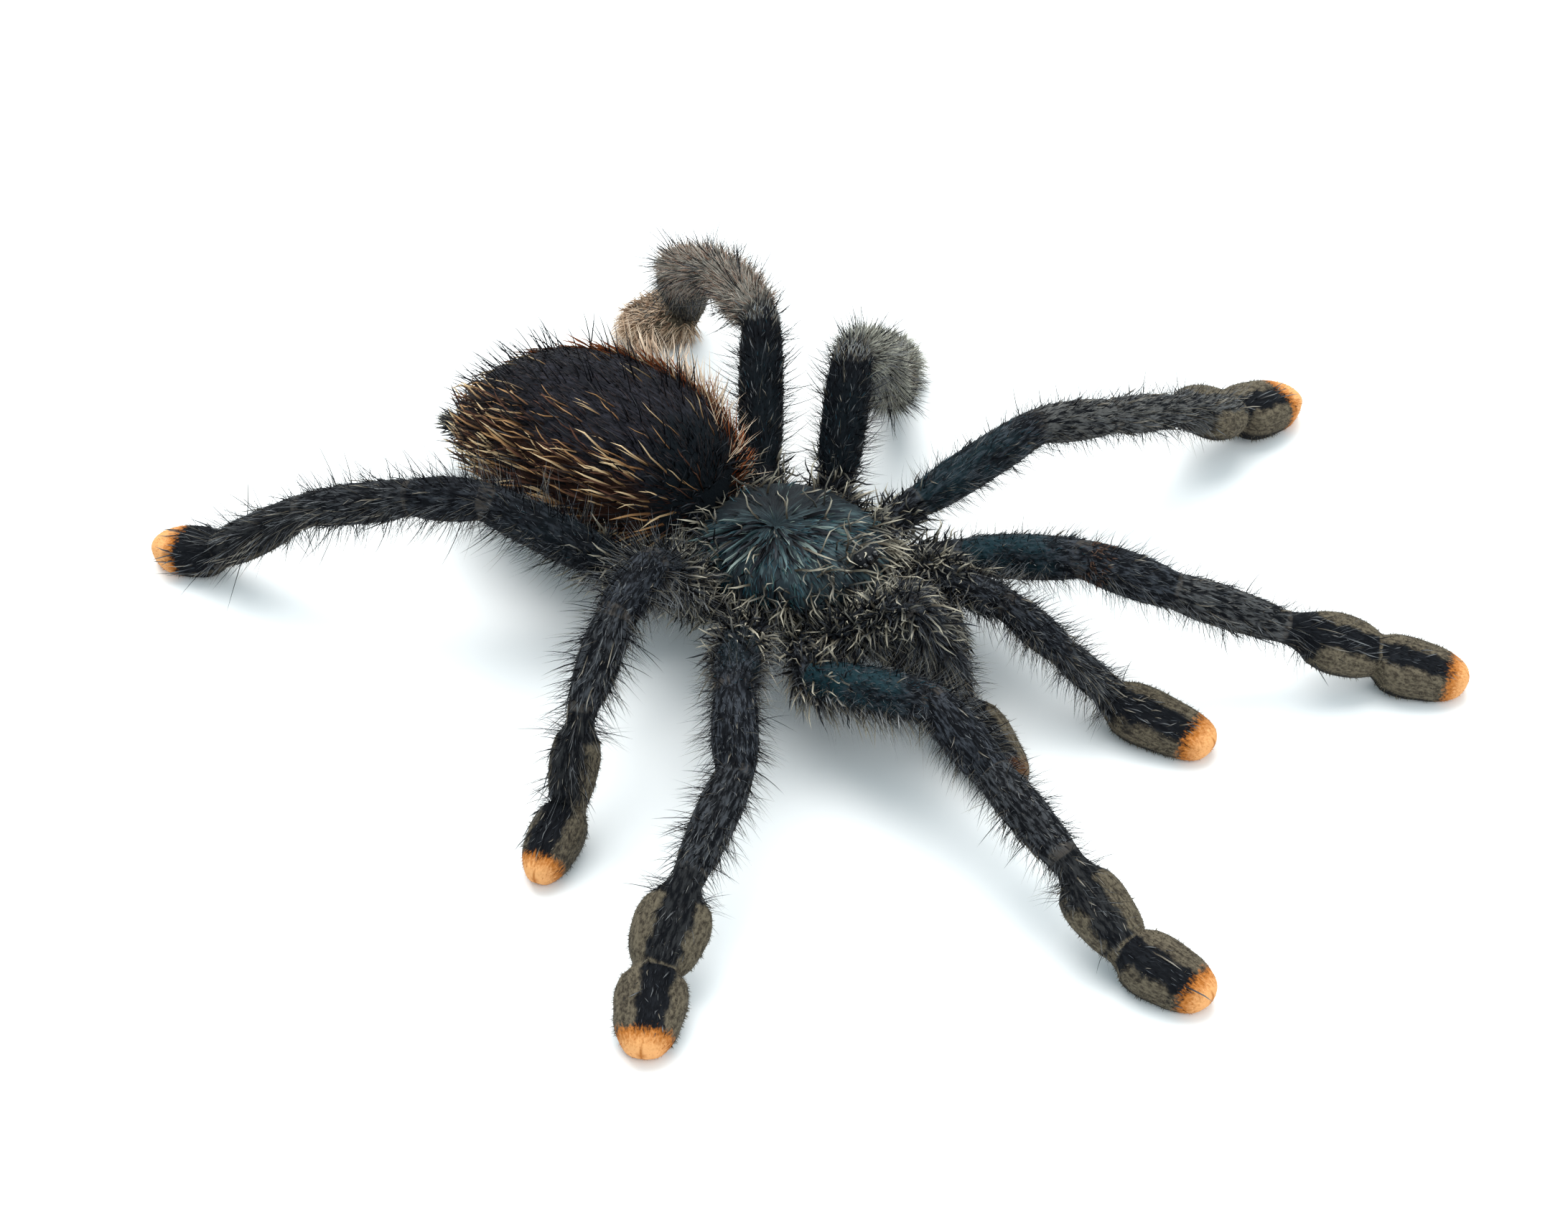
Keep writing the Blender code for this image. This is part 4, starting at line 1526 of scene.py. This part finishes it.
@dataclass
class Abdomen:
    """Furry abdomen: velvet above, long golden hair on the flank and a red-brown fringe on the far side."""

    node: str = "abdomen"
    levels: int = 3
    swell: float = 0.12
    front: tuple[float, float] = (-6.7, 0.0)
    middle_z: float = 10.2
    velvet_spots: int = 15000
    long_spots: int = 14000
    pile: Hair = Hair((0.6, 1.4), 0.050, 10, 10, steps=1)
    gold: Hair = Hair((2.2, 4.6), 0.12, 13, 8, droop=0.02, wave=0.32, steps=4, taper=0.35)
    faint: Hair = Hair((1.8, 3.6), 0.08, 6, 7, droop=0.02, wave=0.2, steps=3, taper=0.4)
    rust: Hair = Hair((1.8, 3.8), 0.085, 9, 9, droop=0.02, wave=0.25, steps=3, taper=0.4)
    haze: Hair = Hair((1.4, 3.6), 0.050, 40, 18)
    mane: Hair = Hair((2.2, 4.6), 0.070, 46, 18, bend=0.1, wave=0.25, steps=3, taper=0.5)
    stiff: Hair = Hair((2.0, 4.0), 0.080, 60, 12, bend=0.12, steps=3)
    belly: Hair = Hair((1.5, 3.5), 0.035, 35, 14)
    tuft: Hair = Hair((1.2, 3.0), 0.095, 38, 26, wave=0.4, steps=3, taper=0.4)

    def _lay(self, points: Array) -> tuple[Array, Array, Array]:
        """Place points on the abdomen.

        Args:
            points: places in millimetres.

        Returns:
            Their distances behind its front, to its near side and above its middle.
        """
        axis = level(REAR)
        away = points - on_body(*self.front, self.middle_z)
        return away @ axis, away @ leftward(axis), away[:, 2]

    def dress(self, kit: Kit) -> None:
        """Build the skin, then its coats.

        Args:
            kit: solids, materials and source of chance.
        """
        skin = rounded_copy(kit.nodes[self.node], "abdomen_skin", self.levels, self.swell)
        points, _ = surface_of(skin)
        behind, near, height = self._lay(points)
        layers = {
            "lay": np.stack([behind, near, height], axis=1),
            "flank": ramp(np.abs(near) * 0.75 - height, -2.5, 4.5),
            "front": 1 - ramp(behind + np.abs(near) * 0.5, 7.0, 10.5),
        }
        clothe(skin, layers, kit.finishes[Finish.ABDOMEN_SKIN])
        fit(skin, self.node)
        self._velvet(skin, kit)
        self._long_hair(skin, kit)

    def _flow(self, spots: Spots) -> Array:
        """Lay the hair backwards along the surface, fanning out from the stalk.

        Args:
            spots: the places.

        Returns:
            The hair's way at each.
        """
        behind, _, _ = self._lay(spots.points)
        fan = unit(spots.points - on_body(*self.front, self.middle_z))
        blend = ramp(behind, 0.0, 16.0)[:, None]
        return unit(fan * (1 - blend) + level(REAR) * blend)

    def _velvet(self, skin: Piece, kit: Kit) -> None:
        """Grow dense short pile all over.

        Args:
            skin: what it grows on.
            kit: materials and source of chance.
        """
        spots = scatter(skin, self.velvet_spots, kit.rng)
        coat = Coat("abdomen_velvet", kit, spots, self._flow(spots))
        behind, near, height = self._lay(spots.points)
        red = (np.abs(near) * 0.75 - height + kit.rng.normal(0, 2.2, len(spots))) > -1.2
        body = behind > 3.0
        coat.grow(~red & body, self.pile, Finish.VELVET)
        coat.grow(red & body, self.pile, Finish.RED_FUR)
        fit(coat.build())

    def _long_hair(self, skin: Piece, kit: Kit) -> None:
        """Grow golden and red hair on the near flank, rusty and sandy on the far one, bristles and tufts.

        Args:
            skin: what they grow on.
            kit: materials and source of chance.
        """
        spots = scatter(skin, self.long_spots, kit.rng)
        coat = Coat("abdomen_long_hair", kit, spots, self._flow(spots))
        behind, near, height = self._lay(spots.points)
        chance = kit.rng.random(len(spots))
        flank = ramp(near * 0.9 - height, -3.5, 2.0) * ramp(behind, 1.0, 6.0)
        coat.grow((chance < 0.070 * flank) & (height > -6.0), self.gold, Finish.GOLDEN_HAIR)
        coat.grow(band(chance, 0.08, 0.10 * flank), self.gold, Finish.RED_HAIR)
        coat.grow(band(chance, 0.19, 0.015) & (height > 2.0), self.faint, Finish.GOLDEN_HAIR)
        far = -near * 0.9 - height * 0.45
        past_stalk = behind > 1.5
        coat.grow((far > 1.8) & band(chance, 0.22, 0.18) & past_stalk, self.rust, Finish.RUSTY_HAIR)
        hazy = far > 3.8 - 2.6 * (1 - ramp(behind, 5.0, 11.0))
        coat.grow(hazy & band(chance, 0.40, 0.13) & past_stalk, self.haze, Finish.SANDY_HAIR)
        crest = (behind > 9.0 + kit.rng.normal(0, 1.0, len(spots))) & (behind < 19.0) & (far > 2.8)
        coat.grow(crest & band(chance, 0.60, 0.24), self.mane, Finish.SANDY_HAIR)
        back = (height > -1.0) & (far < 4.5) & (behind > 6)
        coat.grow(back & band(chance, 0.53, 0.06), self.stiff, Finish.BRISTLE)
        coat.grow((height < -2.0) & (chance > 0.94), self.belly, Finish.FINE_HAIR)
        front = behind < 5.5
        low_front = front & (height < 1.5 - behind * 0.4) & (near > -6)
        coat.grow(low_front & band(chance, 0.60, 0.22), self.tuft, Finish.TAN_HAIR)
        coat.grow(front & band(chance, 0.82, 0.11), self.tuft, Finish.LIMB_FUR)
        fit(coat.build())


@dataclass
class Furred:
    """A small hairy piece: a jaw or a spinneret."""

    node: str
    slot: Slot
    finish: Finish
    flow: Array
    count: int
    levels: int = 2
    swell: float = 0.04
    tan_share: float = 0.42
    hair: Hair = Hair((0.8, 2.0), 0.08, 16, 16, bend=0.1, wave=0.15, taper=0.4)

    def dress(self, kit: Kit) -> None:
        """Build the skin, then the hair.

        Args:
            kit: solids, materials and source of chance.
        """
        skin = rounded_copy(kit.nodes[self.node], f"{self.node}_skin", self.levels, self.swell)
        clothe(skin, {}, kit.finishes[self.finish])
        fit(skin, self.node)
        spots = scatter(skin, self.count, kit.rng)
        coat = Coat(f"{self.node}_hair", kit, spots, np.broadcast_to(self.flow, spots.points.shape))
        tan = kit.rng.random(self.count) < self.tan_share
        coat.grow(~tan, self.hair, Finish.LIMB_FUR)
        coat.grow(tan, self.hair, Finish.TAN_HAIR)
        fit(coat.build())


# ---------------------------------------------------------------- studio


@dataclass(frozen=True)
class Studio:
    """White floor, soft light and the photograph's camera.

    The photograph has photo_scale pixels to a millimetre and is photo_width of them wide. The floor and the
    lamps are in metres: each lamp has its name, place, side and power.
    """

    elevation: float = 41.3
    distance: float = 450.0
    photo_scale: float = 15.38
    photo_width: float = 2184.0
    sensor: float = 36.0
    aim: tuple[float, float] = (-1.20, 3.25)
    floor_side: float = 6.0
    floor_z: float = -0.00002
    floor_colour: Colour = (0.90, 0.905, 0.91)
    sky: Colour = (0.80, 0.945, 1.0)
    lamp_colour: Colour = (1.0, 0.965, 0.93)
    lamps: tuple[tuple[str, tuple[float, float, float], float, float], ...] = (
        ("overhead", (-0.10, 0.38, 0.75), 0.8, 9.0),
        ("front_fill", (0.5, -0.6, 0.55), 0.6, 3.0),
    )

    def build(self) -> None:
        """Set the whole stage."""
        self._floor()
        self._lights()
        self._camera()

    def _floor(self) -> None:
        """Lay the plain pale floor."""
        bpy.ops.object.select_all(action="DESELECT")
        bpy.ops.mesh.primitive_plane_add(size=self.floor_side, location=(0, 0, self.floor_z))
        floor = bpy.context.active_object
        floor.name = "floor"
        floor.data.materials.append(Paint("floor_white").finish(Base_Color=self.floor_colour, Roughness=0.6))

    def _lights(self) -> None:
        """Give an even sky and two large soft panels."""
        world = bpy.data.worlds.new("studio")
        world.use_nodes = True
        background = world.node_tree.nodes["Background"]
        background.inputs["Color"].default_value = (*self.sky, 1.0)
        background.inputs["Strength"].default_value = 1.0
        bpy.context.scene.world = world
        for name, place, side, power in self.lamps:
            light = bpy.data.lights.new(name, "AREA")
            light.size = side
            light.energy = power
            light.color = self.lamp_colour
            lamp = bpy.data.objects.new(name, light)
            lamp.location = place
            lamp.rotation_euler = Vector(place).to_track_quat("Z", "Y").to_euler()
            bpy.context.scene.collection.objects.link(lamp)

    def _camera(self) -> None:
        """Stand the camera where the photographer stood."""
        rise = math.radians(self.elevation)
        target = Vector((BODY[0] + self.aim[0], BODY[1] + self.aim[1], 0.0)) * MM
        camera = bpy.data.cameras.new("camera")
        camera.lens = self.photo_scale * self.distance / self.photo_width * self.sensor
        camera.sensor_width = self.sensor
        camera.sensor_fit = "HORIZONTAL"
        camera.clip_start = 0.01
        seat = bpy.data.objects.new("camera", camera)
        seat.location = target + Vector((0.0, -math.cos(rise), math.sin(rise))) * self.distance * MM
        seat.rotation_euler = (math.pi / 2 - rise, 0.0, 0.0)
        bpy.context.scene.collection.objects.link(seat)
        bpy.context.scene.camera = seat
        bpy.context.scene.view_settings.view_transform = "Standard"


def main() -> None:
    """Load the frame, dress every node and set the stage."""
    logging.basicConfig(level=logging.INFO, format="%(name)s %(message)s")
    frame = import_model()
    finishes = {recipe.name: recipe.build() for recipe in (*SKIN_FINISHES, *HAIR_FINISHES)}
    jaw_flow, rear_flow = in_plan(1.0, 0.0) - UP * 0.7, level(REAR) - UP * 0.3
    sections: list[Section] = [Cephalothorax(), Abdomen()]
    for side in ("left", "right"):
        sections += [
            Furred(f"chelicera_{side}", Slot.CHELICERA, Finish.JAW_SKIN, jaw_flow, count=1500),
            Furred(f"spinneret_{side}", Slot.SPINNERET, Finish.SPINNERET_SKIN, rear_flow, count=350),
        ]
    sections += LIMBS
    for index, section in enumerate(sections):
        section.dress(Kit(frame["nodes"], finishes, np.random.default_rng(SEED + index)))
    Studio().build()
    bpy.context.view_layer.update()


if __name__ == "__main__":
    main()
